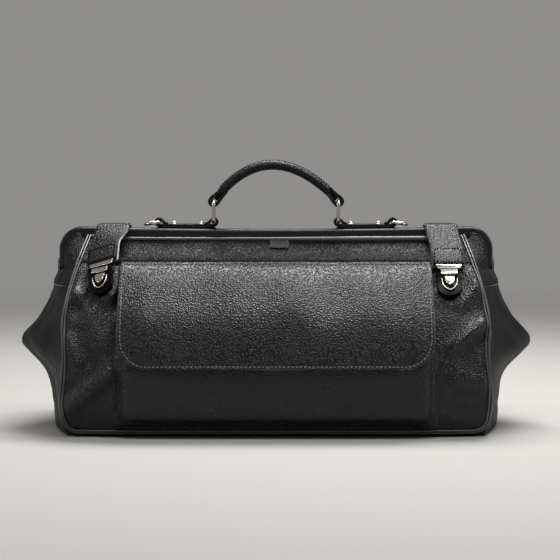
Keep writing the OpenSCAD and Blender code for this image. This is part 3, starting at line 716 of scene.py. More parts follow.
def round_bar(width: float, thick: float, corner: float, across: int = 1) -> Array:
    """Outline of a bar with round corners.

    Args:
        width: Width, along the first axis.
        thick: Thickness, along the second axis.
        corner: Corner radius.
        across: Parts of the straight run on the wide sides.

    Returns:
        Points round the outline.
    """
    corner = min(corner, width / 2, thick / 2)
    w, t = width / 2 - corner, thick / 2 - corner
    turn = np.radians([0, 22.5, 45, 67.5, 90])
    quarter = np.stack([np.cos(turn), np.sin(turn)], -1) * corner
    run = [np.array([[w - 2 * w * i / across, t + corner]]) for i in range(1, across)]
    top = [quarter + (w, t), *run, quarter[::-1] * (-1, 1) + (-w, t)]
    half = np.concatenate(top)
    return np.concatenate([half, -half])


def round_wire(radius: float, sides: int = 14) -> Array:
    """Outline of a round wire."""
    turn = np.linspace(0, 2 * math.pi, sides, endpoint=False)
    return np.stack([np.cos(turn), np.sin(turn)], -1) * radius


def sweep(path: Array, side: Array, section: Array, closed: bool = False) -> tuple[Array, list]:
    """Runs an outline along a path.

    Args:
        path: Points of the path.
        side: Direction of the outline's first axis at each point, or one for all.
        section: Outline, or one outline for each point.
        closed: Whether the path joins up.

    Returns:
        Points, and faces with closed ends.
    """
    count = len(path)
    tangent = unit(np.roll(path, -1, 0) - np.roll(path, 1, 0)) if closed else unit(np.gradient(path, axis=0))
    side = np.broadcast_to(side, path.shape)
    side = unit(side - tangent * np.sum(side * tangent, -1, keepdims=True))
    out = np.cross(tangent, side)
    outlines = np.broadcast_to(np.asarray(section), (count, *np.asarray(section).shape[-2:]))
    points = path[:, None] + outlines[..., :1] * side[:, None] + outlines[..., 1:] * out[:, None]
    sides = outlines.shape[1]
    number = np.arange(count * sides).reshape(count, sides)
    rows = number if not closed else np.concatenate([number, number[:1]])
    after = np.roll(rows, -1, 1)
    faces = np.stack([rows[:-1], after[:-1], after[1:], rows[1:]], -1).reshape(-1, 4).tolist()
    if not closed:
        faces += [number[0][::-1].tolist(), number[-1].tolist()]
    return points.reshape(-1, 3), faces


def join_parts(parts: Sequence[tuple[Array, list]]) -> tuple[Array, list]:
    """Joins several parts into one.

    Args:
        parts: Points and faces of each part.

    Returns:
        Points and faces of all of them.
    """
    points, faces, start = [], [], 0
    for part_points, part_faces in parts:
        points.append(part_points)
        faces += [[i + start for i in face] for face in part_faces]
        start += len(part_points)
    return np.concatenate(points), faces


def swept(name: str, finish: Material, path: Array, side: Array, section: Array, closed: bool = False) -> Object:
    """Makes a piece of an outline that runs along a path, as sweep does."""
    points, faces = sweep(path, side, section, closed)
    return mesh_object(name, points, faces, [finish], sharp=60)


def made_plain(piece: Object, sharp: float = 40.0) -> Object:
    """Turns the evaluated object into a plain mesh without modifiers.

    Args:
        piece: The object.
        sharp: Angle in degrees above which an edge stays sharp.

    Returns:
        The same object.
    """
    bpy.context.view_layer.update()
    graph = bpy.context.evaluated_depsgraph_get()
    mesh = bpy.data.meshes.new_from_object(piece.evaluated_get(graph))
    old = piece.data
    piece.modifiers.clear()
    piece.data = mesh
    mesh.name = piece.name
    bpy.data.meshes.remove(old)
    shade(mesh, sharp)
    return piece


def bevelled(piece: Object, width: float, angle: float) -> Object:
    """Rounds the edges of a piece.

    Args:
        piece: The piece.
        width: Width of the rounded edges in millimetres.
        angle: Angle in degrees above which an edge is rounded.

    Returns:
        The piece, as a plain mesh.
    """
    edge = piece.modifiers.new("round_edge", "BEVEL")
    edge.width, edge.segments, edge.limit_method, edge.angle_limit = width * MM, 3, "ANGLE", math.radians(angle)
    return made_plain(piece)


def placed(points: Array, place: Matrix) -> Array:
    """Points of a frame of its own, moved to where that frame stands."""
    return points @ np.array(place.to_3x3()).T + np.array(place.translation)


def facing(place: Matrix) -> Array:
    """Direction of the Z axis of a frame."""
    return np.array(place.to_3x3())[:, 2]


def plate(name: str, outline: Array, low: float, high: float, place: Matrix, material: Material,
          bevel: float) -> Object:
    """Makes a flat plate with rounded edges.

    Args:
        name: Name of the piece.
        outline: Points round the plate in its own plane.
        low: Height of its underside.
        high: Height of its top.
        place: Where the plate's own frame stands, in millimetres.
        material: Finish.
        bevel: Width of the rounded edge.

    Returns:
        The object.
    """
    n = len(outline)
    points = np.concatenate([np.column_stack([outline, np.full(n, z)]) for z in (low, high)])
    faces = [list(range(n))[::-1], list(range(n, 2 * n))]
    faces += [[i, (i + 1) % n, n + (i + 1) % n, n + i] for i in range(n)]
    return bevelled(mesh_object(name, placed(points, place), faces, [material]), bevel, 40)


def node_group(name: str, inputs: dict[str, str]) -> tuple[NodeTree, Mapping[str, NodeSocket]]:
    """Starts a node group that takes a geometry and named inputs.

    Args:
        name: Name of the group.
        inputs: Kind of each input.

    Returns:
        The group, and the sockets of what it is given.
    """
    tree = bpy.data.node_groups.new(name, "GeometryNodeTree")
    for way in ("OUTPUT", "INPUT"):
        tree.interface.new_socket("Geometry", in_out=way, socket_type="NodeSocketGeometry")
    for key, kind in inputs.items():
        tree.interface.new_socket(key, in_out="INPUT", socket_type=f"NodeSocket{kind}")
    return tree, add(tree, "NodeGroupInput").outputs


def end_group(tree: NodeTree, copies: Node, material: NodeSocket) -> None:
    """Ends a node group: its copies become real, get their material and are handed on.

    Args:
        tree: The group.
        copies: Node that sets the copies on their points.
        material: Socket that gives the material.
    """
    real = add(tree, "GeometryNodeRealizeInstances", {0: copies.outputs[0]})
    dressed = add(tree, "GeometryNodeSetMaterial", {"Geometry": real.outputs[0], "Material": material})
    add(tree, "NodeGroupOutput", {0: dressed.outputs[0]})


def with_nodes(piece: Object, tree: NodeTree, values: dict[str, object], sharp: float) -> Object:
    """Runs a node group on a piece.

    Args:
        piece: Points or lines that the group works on.
        tree: The group.
        values: Values of its inputs by name.
        sharp: Angle in degrees above which an edge stays sharp.

    Returns:
        The piece, as a plain mesh.
    """
    modifier = piece.modifiers.new(tree.name, "NODES")
    modifier.node_group = tree
    for item in tree.interface.items_tree:
        if item.in_out == "INPUT" and item.name in values:
            modifier[item.identifier] = values[item.name]
    return made_plain(piece, sharp)


@lru_cache(maxsize=None)
def stitch_tree() -> NodeTree:
    """Geometry Nodes that lay one stitch after another along a line that lies on a surface, made once.

    Returns:
        The tree, with the sizes of a stitch and the thread as inputs.
    """
    sizes = dict.fromkeys(("Pitch", "Length", "Thickness", "Slant"), "Float")
    tree, given = node_group("stitch_row", {**sizes, "Thread": "Material"})
    line = add(tree, "GeometryNodeMeshToCurve", {0: given["Geometry"]})
    even = add(tree, "GeometryNodeResampleCurve", {"Curve": line.outputs[0], "Length": given["Pitch"]}, mode="LENGTH")
    lie = add(tree, "GeometryNodeInputNamedAttribute", {"Name": "lie"}, data_type="FLOAT_VECTOR")
    tangent = add(tree, "GeometryNodeInputTangent")
    along = add(tree, "FunctionNodeAlignRotationToVector", {"Vector": tangent.outputs[0]}, axis="X")
    upright = add(tree, "FunctionNodeAlignRotationToVector",
                  {"Rotation": along.outputs[0], "Vector": lie.outputs[0]}, axis="Z", pivot_axis="X")
    lean = add(tree, "ShaderNodeCombineXYZ", {"Z": given["Slant"]})
    turned = add(tree, "FunctionNodeRotateRotation", {
        "Rotation": upright.outputs[0], "Rotate By": lean.outputs[0]}, rotation_space="LOCAL")
    ball = add(tree, "GeometryNodeMeshUVSphere", {"Segments": 8, "Rings": 5, "Radius": 0.5})
    size = add(tree, "ShaderNodeCombineXYZ", {
        "X": given["Length"], "Y": given["Thickness"], "Z": given["Thickness"]})
    stitch = add(tree, "GeometryNodeTransform", {"Geometry": ball.outputs[0], "Scale": size.outputs[0]})
    copies = add(tree, "GeometryNodeInstanceOnPoints", {
        "Points": even.outputs[0], "Instance": stitch.outputs[0], "Rotation": turned.outputs[0]})
    end_group(tree, copies, given["Thread"])
    return tree


@dataclass
class Stitches:
    """Rows of stitches that move together."""

    name: str
    thread: Material
    pitch: float = 4.6
    length: float = 3.7
    thickness: float = 0.9
    slant: float = 0.12
    rows: list[tuple[Array, Array]] = field(default_factory=list)

    def on_surface(self, surface: Surface, a: Array, b: Array, step: Pair = (0.4, 0.4)) -> None:
        """Adds a row that follows a surface at places a and b, with normals taken over a small step."""
        a, b = arrays(a, b)
        self.rows.append((surface(a, b), normals(surface, a, b, step)))

    def on_line(self, points: Array, lie: Array) -> None:
        """Adds a row along points, with the direction that its stitches face."""
        self.rows.append((np.asarray(points, float), np.broadcast_to(lie, np.shape(points)).astype(float)))

    def build(self) -> Object:
        """Lays the stitches.

        Returns:
            One plain mesh of all stitches.
        """
        points = np.concatenate([p + n * 0.1 for p, n in self.rows]) * MM
        lie = np.concatenate([n for _, n in self.rows])
        edges, start = [], 0
        for row, _ in self.rows:
            edges += [(start + i, start + i + 1) for i in range(len(row) - 1)]
            start += len(row)
        mesh = bpy.data.meshes.new(self.name)
        mesh.from_pydata(points.tolist(), edges, [])
        faced = mesh.attributes.new("lie", "FLOAT_VECTOR", "POINT")
        faced.data.foreach_set("vector", lie.astype(np.float32).ravel())
        values = {"Pitch": self.pitch * MM, "Length": self.length * MM, "Thickness": self.thickness * MM,
                  "Slant": self.slant, "Thread": self.thread}
        return with_nodes(link(self.name, mesh), stitch_tree(), values, sharp=180.0)


def merged(name: str, parts: Sequence[Object]) -> Object:
    """Joins several plain objects into one piece.

    Args:
        name: Name of the piece.
        parts: Objects, which are removed.

    Returns:
        The piece, with the materials of its parts.
    """
    mesh = bpy.data.meshes.new(name)
    work = bmesh.new()
    materials: list[Material] = []
    for part in parts:
        start = len(work.faces)
        work.from_mesh(part.data)
        work.faces.ensure_lookup_table()
        for face in work.faces[start:]:
            material = part.data.materials[face.material_index]
            if material not in materials:
                materials.append(material)
            face.material_index = materials.index(material)
    work.to_mesh(mesh)
    work.free()
    for material in materials:
        mesh.materials.append(material)
    for part in parts:
        old = part.data
        bpy.data.objects.remove(part)
        bpy.data.meshes.remove(old)
    shade(mesh, 40.0)
    return link(name, mesh)


@dataclass(frozen=True)
class Bend:
    """Two bodies between which a piece bends, and the places in millimetres where it starts and ends."""

    first: str
    second: str
    start: Place
    end: Place


def settle(piece: Object, slot: str, carried: Union[str, Bend], *nodes: str) -> Object:
    """Hands a finished piece to the frame.

    Args:
        piece: The piece.
        slot: Name of a material slot. Not used.
        carried: Body that carries it, or a bend between two bodies, for which the piece is only baked in place and
            given to no body.
        *nodes: Nodes of the frame that it stands for.

    Returns:
        The piece.
    """
    if isinstance(carried, Bend):
        tuple(c * MM for c in carried.start)
        tuple(c * MM for c in carried.end)
        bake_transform(piece)
    else:
        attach(piece, carried)
    if nodes:
        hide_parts(*nodes)
    LOG.info("%s: %d faces", piece.name, len(piece.data.polygons))
    return piece


LEATHER, TRIM, NICKEL = "black_leather", "trim_leather", "nickel"


@dataclass
class Assembly:
    """A sub-assembly of the bag, with the form and the finishes that all of them share."""

    form: BagForm
    finishes: Finishes

    def hide(self, name: str, surface: Surface, a: Array, b: Array, thick: float,
             step: Pair = (0.4, 0.4), outside: Optional[Material] = None,
             inside: Optional[Material] = None,
             edge: Optional[Material] = None) -> Object:
        """Cuts a piece of leather, with suede inside and a painted edge unless other finishes are given."""
        f = self.finishes
        return Hide(name, surface, a, b, thick, outside or f.leather, inside or f.suede, edge or f.edge, step).build()


def grid(rows: Array, half: Array, cols: int) -> tuple[Array, Array]:
    """Column and row places of a piece that is as wide as its half widths at each row, in so many cells."""
    share = np.linspace(-1, 1, cols + 1)
    return np.asarray(half)[:, None] * share[None, :], np.repeat(np.asarray(rows)[:, None], cols + 1, 1)


@dataclass
class Body(Assembly):
    """Front and back panel, base, gussets and their lining."""

    rows: int = 72
    cols: int = 150
    seat_lift: float = 4.7
    seat_most: float = 9.5
    seat_r: float = 15.0
    seat_squash: float = 1.17
    right_seat: float = 0.45
    gusset_half: float = 108.0
    gusset_step: Pair = (0.004, 0.4)
    foot_turn: float = 0.85
    base_in: float = 8.0
    base_t: float = 3.0
    cloth_low: float = 9.0
    cloth_drop: float = 3.0
    cloth_in: float = 9.5
    cloth_gap: float = 4.6
    cloth_end_gap: float = 4.2
    cloth_t: float = 1.0
    front_folds: tuple[Fold, ...] = (
        Fold((234, 172), (200, 140), 8.0, 4.5, 0.4),
        Fold((238, 131), (192, 95), 7.5, 7.8, 0.4),
        Fold((240, 60), (190, 66), 13.0, 6.0, 0.4),
        Fold((221, 186), (233, 142), 8.0, 2.6, 0.3),
        Fold((196, 146), (236, 60), 16.0, 1.4, 0.4),
        Fold((-237, 28), (-178, 78), 10.5, 8.6, 0.3),
        Fold((-216, 192), (-236, 130), 8.0, 3.0, 0.3),
        Fold((-212, 153), (-231, 157), 8.0, 6.0, 0.4),
        Fold((-181, 152), (-193, 150), 5.0, 3.8, 0.4),
        Fold((-214, 150), (-190, 96), 10.0, 3.0, 0.3),
        Fold((-238, 118), (-216, 70), 9.0, 4.4, 0.5),
        Fold((-183, 152), (-186, 110), 6.0, 1.2, 0.5),
    )
    back_folds: tuple[Fold, ...] = (
        Fold((238, 132), (150, 92), 12.0, 2.8, 0.6),
        Fold((-239, 120), (-160, 70), 14.0, 2.6, 0.5),
        Fold((-120, 180), (-60, 130), 16.0, 1.8, 0.4),
        Fold((70, 182), (20, 120), 18.0, 1.8, 0.4),
        Fold((200, 60), (120, 30), 14.0, 1.6, 0.3),
        Fold((-30, 70), (-150, 34), 16.0, 1.8, 0.4),
    )
    gusset_folds: tuple[Fold, ...] = (
        Fold((0, 97), (78, 26), 9.0, 3.2, 0.7),
        Fold((0, 97), (-74, 30), 10.0, 3.0, 0.7),
        Fold((0, 99), (62, 150), 9.0, 3.0, 0.8),
        Fold((0, 99), (-60, 154), 9.0, 2.8, 0.8),
        Fold((0, 30), (0, 160), 5.0, 3.0, 0.0),
        Fold((-30, 10), (26, 60), 12.0, 1.6, 0.5),
    )

    def pillow(self, x: Array, z: Array) -> Array:
        """Softness of a panel: its edges roll back to the piping, and its leather never lies quite flat.

        Args:
            x: Places along the bag.
            z: Heights.

        Returns:
            Distances out of the panel.
        """
        to_edge = self.form.edge(z) - np.abs(x)
        calm = smooth(to_edge / 26) * smooth(z / 24) * smooth((self.form.seam_z - z) / 20)
        rolled = -1.6 * (1 - smooth(to_edge / 11))
        return rolled + calm * (0.8 * ripple(x, z, 60, 3) + 0.3 * ripple(x, z, 22, 4))

    def inward(self, x: Array, z: Array) -> Array:
        """Share of the folds that is left near the piping and the seam of a panel."""
        return smooth((self.form.edge(z) - np.abs(x)) / 9 + 0.15) * smooth((self.form.seam_z - z) / 10)

    def lock_seat(self, x: Array, z: Array) -> Array:
        """Leather drawn out under the turned left lock, and a little under the right one.

        Args:
            x: Places along the bag.
            z: Heights.

        Returns:
            Distances out of the panel.
        """
        f = self.form
        u, v = x + f.lock_x, (z - f.lock_z) * self.seat_squash
        plane = np.clip(self.seat_lift + u * math.tan(math.radians(f.lock_twist)), 0, self.seat_most)
        left = plane * (1 - smooth((np.hypot(u, v) - self.seat_r) / 17))
        return left + self.right_seat * (1 - smooth((np.hypot(x - f.lock_x, v) - self.seat_r) / 20))

    def rolled_foot(self, points: Array, z: Array) -> Array:
        """Turns the lower edge of a panel in under the bag.

        Args:
            points: Points of the panel, which are moved.
            z: Their heights.

        Returns:
            The points.
        """
        roll = self.form.foot_roll
        t = np.clip(1 - z / roll, 0, 1)
        tucked = roll - roll * np.sqrt(np.clip(1 - (self.foot_turn * t) ** 2, 0, 1))
        points[..., 1] += tucked * np.sign(-points[..., 1])
        return points

    def front(self, x: Array, z: Array) -> Array:
        """Outside of the front panel at places x along the bag and heights z."""
        off = self.pillow(x, z) + self.inward(x, z) * (folded(self.front_folds, x, z) + self.lock_seat(x, z))
        return self.rolled_foot(self.form.front(x, z, off), z)

    def back(self, u: Array, z: Array) -> Array:
        """Outside of the back panel at places u along the bag, seen from behind, and heights z."""
        off = self.pillow(u, z) + self.inward(u, z) * folded(self.back_folds, u, z)
        return self.rolled_foot(self.form.front(u, z, off), z) * TURN

    def gusset(self, k: Array, z: Array) -> Array:
        """Outside of the right gusset with its folds.

        Args:
            k: Share of the way from the middle to a panel, from -1 to 1.
            z: Heights.

        Returns:
            Points of the gusset.
        """
        k, z = arrays(k, z)
        points = self.form.gusset(k, z).copy()
        calm = np.clip(1 - k * k, 0, 1) * smooth(z / 14) * smooth((self.form.gusset_top - z) / 12)
        y = k * self.gusset_half
        points[..., 0] += calm * (folded(self.gusset_folds, y, z) + 1.0 * ripple(y, z, 50, 7)
                                  + 0.5 * ripple(y, z, 18, 8))
        t = np.clip(1 - z / self.form.foot_roll, 0, 1)
        tucked = self.form.foot_roll * (1 - np.sqrt(1 - (self.foot_turn * t) ** 2))
        points[..., 0] -= tucked * np.clip(1 - k ** 8, 0, 1)
        return points

    def panel(self, name: str, surface: Surface, *nodes: str) -> None:
        """Builds one panel.

        Args:
            name: Name of the piece.
            surface: Its outside.
            *nodes: Nodes of the frame that it stands for.
        """
        z = self.form.seam_z * np.linspace(0, 1, self.rows + 1) ** 1.25
        a, b = grid(z, self.form.edge(z), self.cols)
        settle(self.hide(name, surface, a, b, self.form.wall), LEATHER, "bag", *nodes)

    def build(self) -> None:
        """Builds and settles all pieces of the bag's body."""
        f = self.form
        self.panel("front_panel_leather", self.front, "front_panel")
        self.panel("back_panel_leather", self.back, "back_panel")
        z = np.linspace(0, f.gusset_top, 61)
        k, rows = grid(z, np.ones(len(z)), 64)
        for side in Side:
            surface = self.gusset if side is Side.RIGHT else (lambda k, z: self.gusset(k, z) * TURN)
            piece = self.hide(f"{side.word}_gusset_leather", surface, k, rows, f.wall, self.gusset_step,
                              self.finishes.soft)
            settle(piece, LEATHER, "bag", f"{side.word}_gusset")
        self.build_base()
        self.build_lining()

    def build_base(self) -> None:
        """Builds the base panel."""
        f = self.form
        x = np.linspace(-1, 1, 41) * (f.foot_len - 10)
        front = np.stack([x, f.pull(x, np.zeros_like(x)) + self.base_in - f.base_depth], -1)
        k = np.linspace(-0.9, 0.9, 25)
        edge = f.gusset(k, np.zeros_like(k))[:, :2] - (self.base_in, 0)
        half = np.concatenate([front, edge])
        outline = np.concatenate([half, -half])
        piece = plate("base_panel_leather", outline, 0.0, self.base_t, Matrix(), self.finishes.leather, 1.2)
        settle(piece, LEATHER, "bag", "base_panel")

    def build_lining(self) -> None:
        """Builds the lining of the panels and gussets."""
        f, cloth = self.form, self.finishes.twill
        z = np.linspace(self.cloth_low, f.seam_z - self.cloth_drop, 40)
        a, b = grid(z, f.edge(z) - self.cloth_in, 60)
        for face, turn in ((Face.FRONT, 1), (Face.REAR, TURN)):
            def wall(x: Array, h: Array, turn: Array = turn) -> Array:
                """Inside of one panel, with the cloth a little slack."""
                return f.front(x, h, 0.5 * ripple(x, h, 40, 11) - self.cloth_gap) * turn
            piece = self.hide(f"{face.word}_lining_cloth", wall, a, b, self.cloth_t, outside=cloth, inside=cloth)
            settle(piece, "lining_cloth", "bag", f"{face.word}_lining")
        z = np.linspace(self.cloth_low, f.gusset_top - self.cloth_drop, 40)
        k, rows = grid(z, np.full(len(z), 0.96), 40)
        for side, turn in ((Side.LEFT, TURN), (Side.RIGHT, 1)):
            def end(k: Array, h: Array, turn: Array = turn) -> Array:
                """Inside of one gusset."""
                return (self.gusset(k, h) - np.array([self.cloth_end_gap, 0, 0])) * turn
            piece = self.hide(f"{side.word}_lining_cloth", end, k, rows, self.cloth_t, self.gusset_step, cloth, cloth)
            settle(piece, "lining_cloth", "bag", f"{side.word}_lining")


@dataclass
class FrameMouth(Assembly):
    """Yokes, shoulders and the leather-covered jaws."""

    jaw_half: float = 251.0
    jaw_r: float = 26.0
    band: float = 15.0
    cover_t: float = 12.0
    leg_bottom: float = 181.0
    shoulder_top_z: float = 215.0
    shoulder_turn: float = 84.0
    shoulder_in: float = 6.5
    shoulder_off: float = 1.7
    shoulder_foot: float = -8.75
    leg_end: float = 178.0
    tab_out: float = 253.4
    tab_top: float = 193.0
    tab_low: float = 158.0
    tab_half: Pair = (17.0, 11.0)
    tab_round: float = 10.0
    tab_flare: float = 5.2
    tab_crown: float = 0.012
    tab_t: float = 2.2
    tab_sewn: float = 2.2
    welt_r: float = 2.4
    welt_swell: float = 0.45
    yoke_first: float = -3.4
    yoke_lap: float = 3.2
    yoke_sewn: Pair = (3.0, 4.6)
    drape: float = 3.2

    def hung(self, x: Array, run: Array, seed: int) -> Array:
        """Outside of the front yoke, which hangs steeply from the rail and then lies back to the seam.

        Args:
            x: Places along the bag.
            run: Distances up from the seam.
            seed: Number that fixes its ripples.

        Returns:
            Points of the yoke.
        """
        f, share = self.form, np.clip(run / self.form.yoke_len, 0, 1)
        slack = smooth((f.edge(f.yoke_z(run)) - np.abs(x)) / 40)
        waves = 0.9 * ripple(x, run, 60, seed)
        bow = slack * (np.sin(math.pi * share) * (waves - self.drape) + self.yoke_lap * (1 - smooth(run / 8)))
        points = f.yoke(x, run, bow)
        points[..., 2] -= f.drop(x) * share
        return points

    def yoke(self, face: Face) -> Surface:
        """Outside of a yoke over the places along the bag and the distances up from the seam."""
        seed, turn = (21, 1) if face is Face.FRONT else (22, TURN)
        return lambda x, run: self.hung(x, run, seed) * turn

    def shoulder(self, s: Array, t: Array) -> Array:
        """Outside of the front right shoulder.

        Args:
            s: Share of the way from the yoke's edge to the leg of the jaw.
            t: Share of the way up.

        Returns:
            Points of the shoulder.
        """
        f = self.form
        s, t = arrays(s, t)
        rise, back = f.yoke_top_z - f.seam_z, f.seam_depth - f.yoke_top_depth
        low = f.gusset_top + f.clear
        z = low + (self.shoulder_top_z - low) * t
        upper = f.seam_depth - back * (z - f.seam_z) / rise - f.wall * f.yoke_len / rise - f.clear
        inner = np.stack([f.edge(z) - f.wall / 2, -np.where(z < f.seam_z, f.tuck(z), upper), z], -1)
        face = -f.bar_y - self.cover_t / 2 - self.shoulder_off
        r = self.jaw_r - self.shoulder_in
        centre_x, centre_z = self.jaw_half - self.jaw_r, f.jaw_top - self.jaw_r
        leg = centre_x + r
        foot = f.gusset(self.shoulder_foot / f.tuck(np.array(low)), low)
        knee, hip = np.array([leg, face, self.leg_bottom + 3]), np.array([leg, face, centre_z])
        part = t[..., None] * 3
        angle = np.radians(self.shoulder_turn) * np.clip(t * 3 - 2, 0, 1)
        arc = np.stack([centre_x + r * np.cos(angle), np.full(t.shape, face), centre_z + r * np.sin(angle)], -1)
        bulge = foot * (1, 0.5, 0) + knee * (0, 0.5, 0) + np.array([-1.5, 0, foot[2] + 12])
        near = foot * (1 - part) ** 2 + 2 * bulge * part * (1 - part) + knee * part ** 2
        outer = np.where(part < 1, near, np.where(part < 2, knee + (hip - knee) * (part - 1), arc))
        share = np.stack([2 * s - s * s, s, s], -1)
        fold = 1.6 * bump(s, 0.5, 0.09) - 1.2 * bump(s, 0.75, 0.12)
        calm = smooth(t / 0.15) * smooth((1 - t) / 0.15) * smooth(s / 0.12) * smooth((1 - s) / 0.12)
        slack = fold + 0.5 * ripple(s * 60, t * 50, 26, 31)
        return inner + (outer - inner) * share + (calm * slack)[..., None] * np.array([0.45, -0.85, 0.2])

    def cover(self, face: Face) -> Object:
        """Leather wrapped round a jaw, up one leg, along the slightly sagging top and down the other.

        Args:
            face: Front or back of the bag.

        Returns:
            The piece.
        """
        inset = self.band / 2
        half, r, top = self.jaw_half - inset, self.jaw_r - inset, self.form.jaw_top - inset
        leg_z = np.linspace(self.leg_end, top - r, 9)[:-1]
        turn = np.linspace(math.pi, math.pi / 2, 12)
        level = np.linspace(r - half, 0, 60)[1:]
        x = np.concatenate([np.full(len(leg_z), -half), r * np.cos(turn) - half + r, level])
        z = np.concatenate([leg_z, top - r + r * np.sin(turn), np.full(len(level), top)])
        x, z = both_halves(x, z)
        path = np.stack([x, np.full(len(x), face.value * self.form.bar_y), z - self.form.sag(x)], -1)
        full = 1 - 0.45 * (1 - smooth((path[:, 2] - self.leg_end) / 7))
        sections = round_bar(self.cover_t, self.band, 3.4)[None] * full[:, None, None]
        return swept(f"{face.word}_jaw_leather", self.finishes.fine, path, ACROSS, sections)

    def build(self) -> None:
        """Builds and settles the yokes, shoulders and jaws."""
        for face in Face:
            self.build_yoke(face)
            settle(self.cover(face), LEATHER, f"{face.word}_jaw", f"{face.word}_jaw_cover")
            self.build_shoulders(face)
        for side in Side:
            self.build_hinge_tab(side)

    def build_hinge_tab(self, side: Side) -> None:
        """Builds the leather tab that rises from a gusset over the outer end of the hinge.

        Args:
            side: End of the bag.
        """
        def surface(y: Array, z: Array) -> Array:
            """Outside of the tab, which leans out from the leg of the jaw to the gusset."""
            x = self.tab_out + self.tab_flare * smooth((self.leg_bottom - z) / 15) - self.tab_crown * y ** 2
            return np.stack([side.value * x, side.value * y, z], -1)
        r, rise = self.tab_round, np.linspace(0, math.pi / 2, 12)[1:]
        z = np.concatenate([np.linspace(self.tab_low, self.tab_top - r, 14), self.tab_top - r + r * np.sin(rise)])
        half = np.concatenate([np.linspace(*self.tab_half, 14), self.tab_half[1] - r + r * np.cos(rise)])
        a, b = grid(z, half, 16)
        tab = self.hide(f"{side.word}_hinge_tab", surface, a, b, self.tab_t, outside=self.finishes.soft)
        settle(tab, LEATHER, "bag")
        sewn = Stitches(f"{side.word}_hinge_tab_stitches", self.finishes.dark_thread, 3.4, 2.6, 0.7)
        sewn.on_surface(surface, *both_halves(half - self.tab_sewn, z - 1.5))
        settle(sewn.build(), TRIM, "bag")

    def bend(self, face: Face) -> Bend:
        """Bend of the leather between the bag and a jaw."""
        return Bend("bag", f"{face.word}_jaw", (0, face.value * 52.0, 196.0), (0, face.value * 19.0, 218.0))

    def build_yoke(self, face: Face) -> None:
        """Builds a yoke with the welt along its top edge and its stitches.

        Args:
            face: Front or back of the bag.
        """
        f, surface, word = self.form, self.yoke(face), face.word
        run = np.linspace(self.yoke_first, f.yoke_len, 19)
        a, b = grid(run, f.edge(f.yoke_z(run)), 130)
        # The yoke's cut edge shows its flesh side in the dark matt suede finish, which also paints the shade of the
        # seam line over the flap.
        piece = self.hide(f"{word}_yoke_leather", surface, a, b, f.wall, outside=self.finishes.yoke,
                          edge=self.finishes.suede)
        settle(piece, LEATHER, self.bend(face), f"{word}_yoke")
        x = np.linspace(-1, 1, 80) * (f.crown_len - 6)
        top = np.full_like(x, f.yoke_len - 0.8)
        out = normals(surface, x, top)
        radius = self.welt_r * (1 + self.welt_swell * smooth((x + 30) / 120))
        sections = round_wire(1.0, 12)[None] * radius[:, None, None]
        welt = swept(f"{word}_yoke_welt", self.finishes.piping, surface(x, top) + out * 0.4, out, sections)
        settle(welt, TRIM, self.bend(face))
        rows = Stitches(f"{word}_yoke_stitches", self.finishes.dark_thread)
        x = np.linspace(-1, 1, 120) * (f.edge(f.seam_z) - 9)
        rows.on_surface(surface, x, self.yoke_first + self.yoke_sewn[0])
        rows.on_surface(surface, x * 0.93, f.yoke_len - self.yoke_sewn[1])
        settle(rows.build(), TRIM, self.bend(face))

    def build_shoulders(self, face: Face) -> None:
        """Builds the two shoulders beside a yoke.

        Args:
            face: Front or back of the bag.
        """
        bend = Bend("bag", f"{face.word}_jaw", (0, face.value * 50.0, 176.0), (0, face.value * 16.0, 200.0))
        t, s = np.linspace(0, 1, 40), np.linspace(0, 1, 19)
        for side in Side:
            right = (side is Side.RIGHT) == (face is Face.FRONT)

            def surface(a: Array, b: Array, right: bool = right) -> Array:
                """Shoulder at this corner, turned or mirrored from the front right one."""
                points = self.shoulder(a, b) if right else self.shoulder(-a, b) * MIRROR
                return points if face is Face.FRONT else points * TURN
            a, b = np.meshgrid(s if right else s - 1, t)
            name = f"{face.word}_{side.word}_shoulder"
            piece = self.hide(f"{name}_leather", surface, a, b, self.form.wall, (0.01, 0.01), self.finishes.soft)
            settle(piece, LEATHER, bend, name)


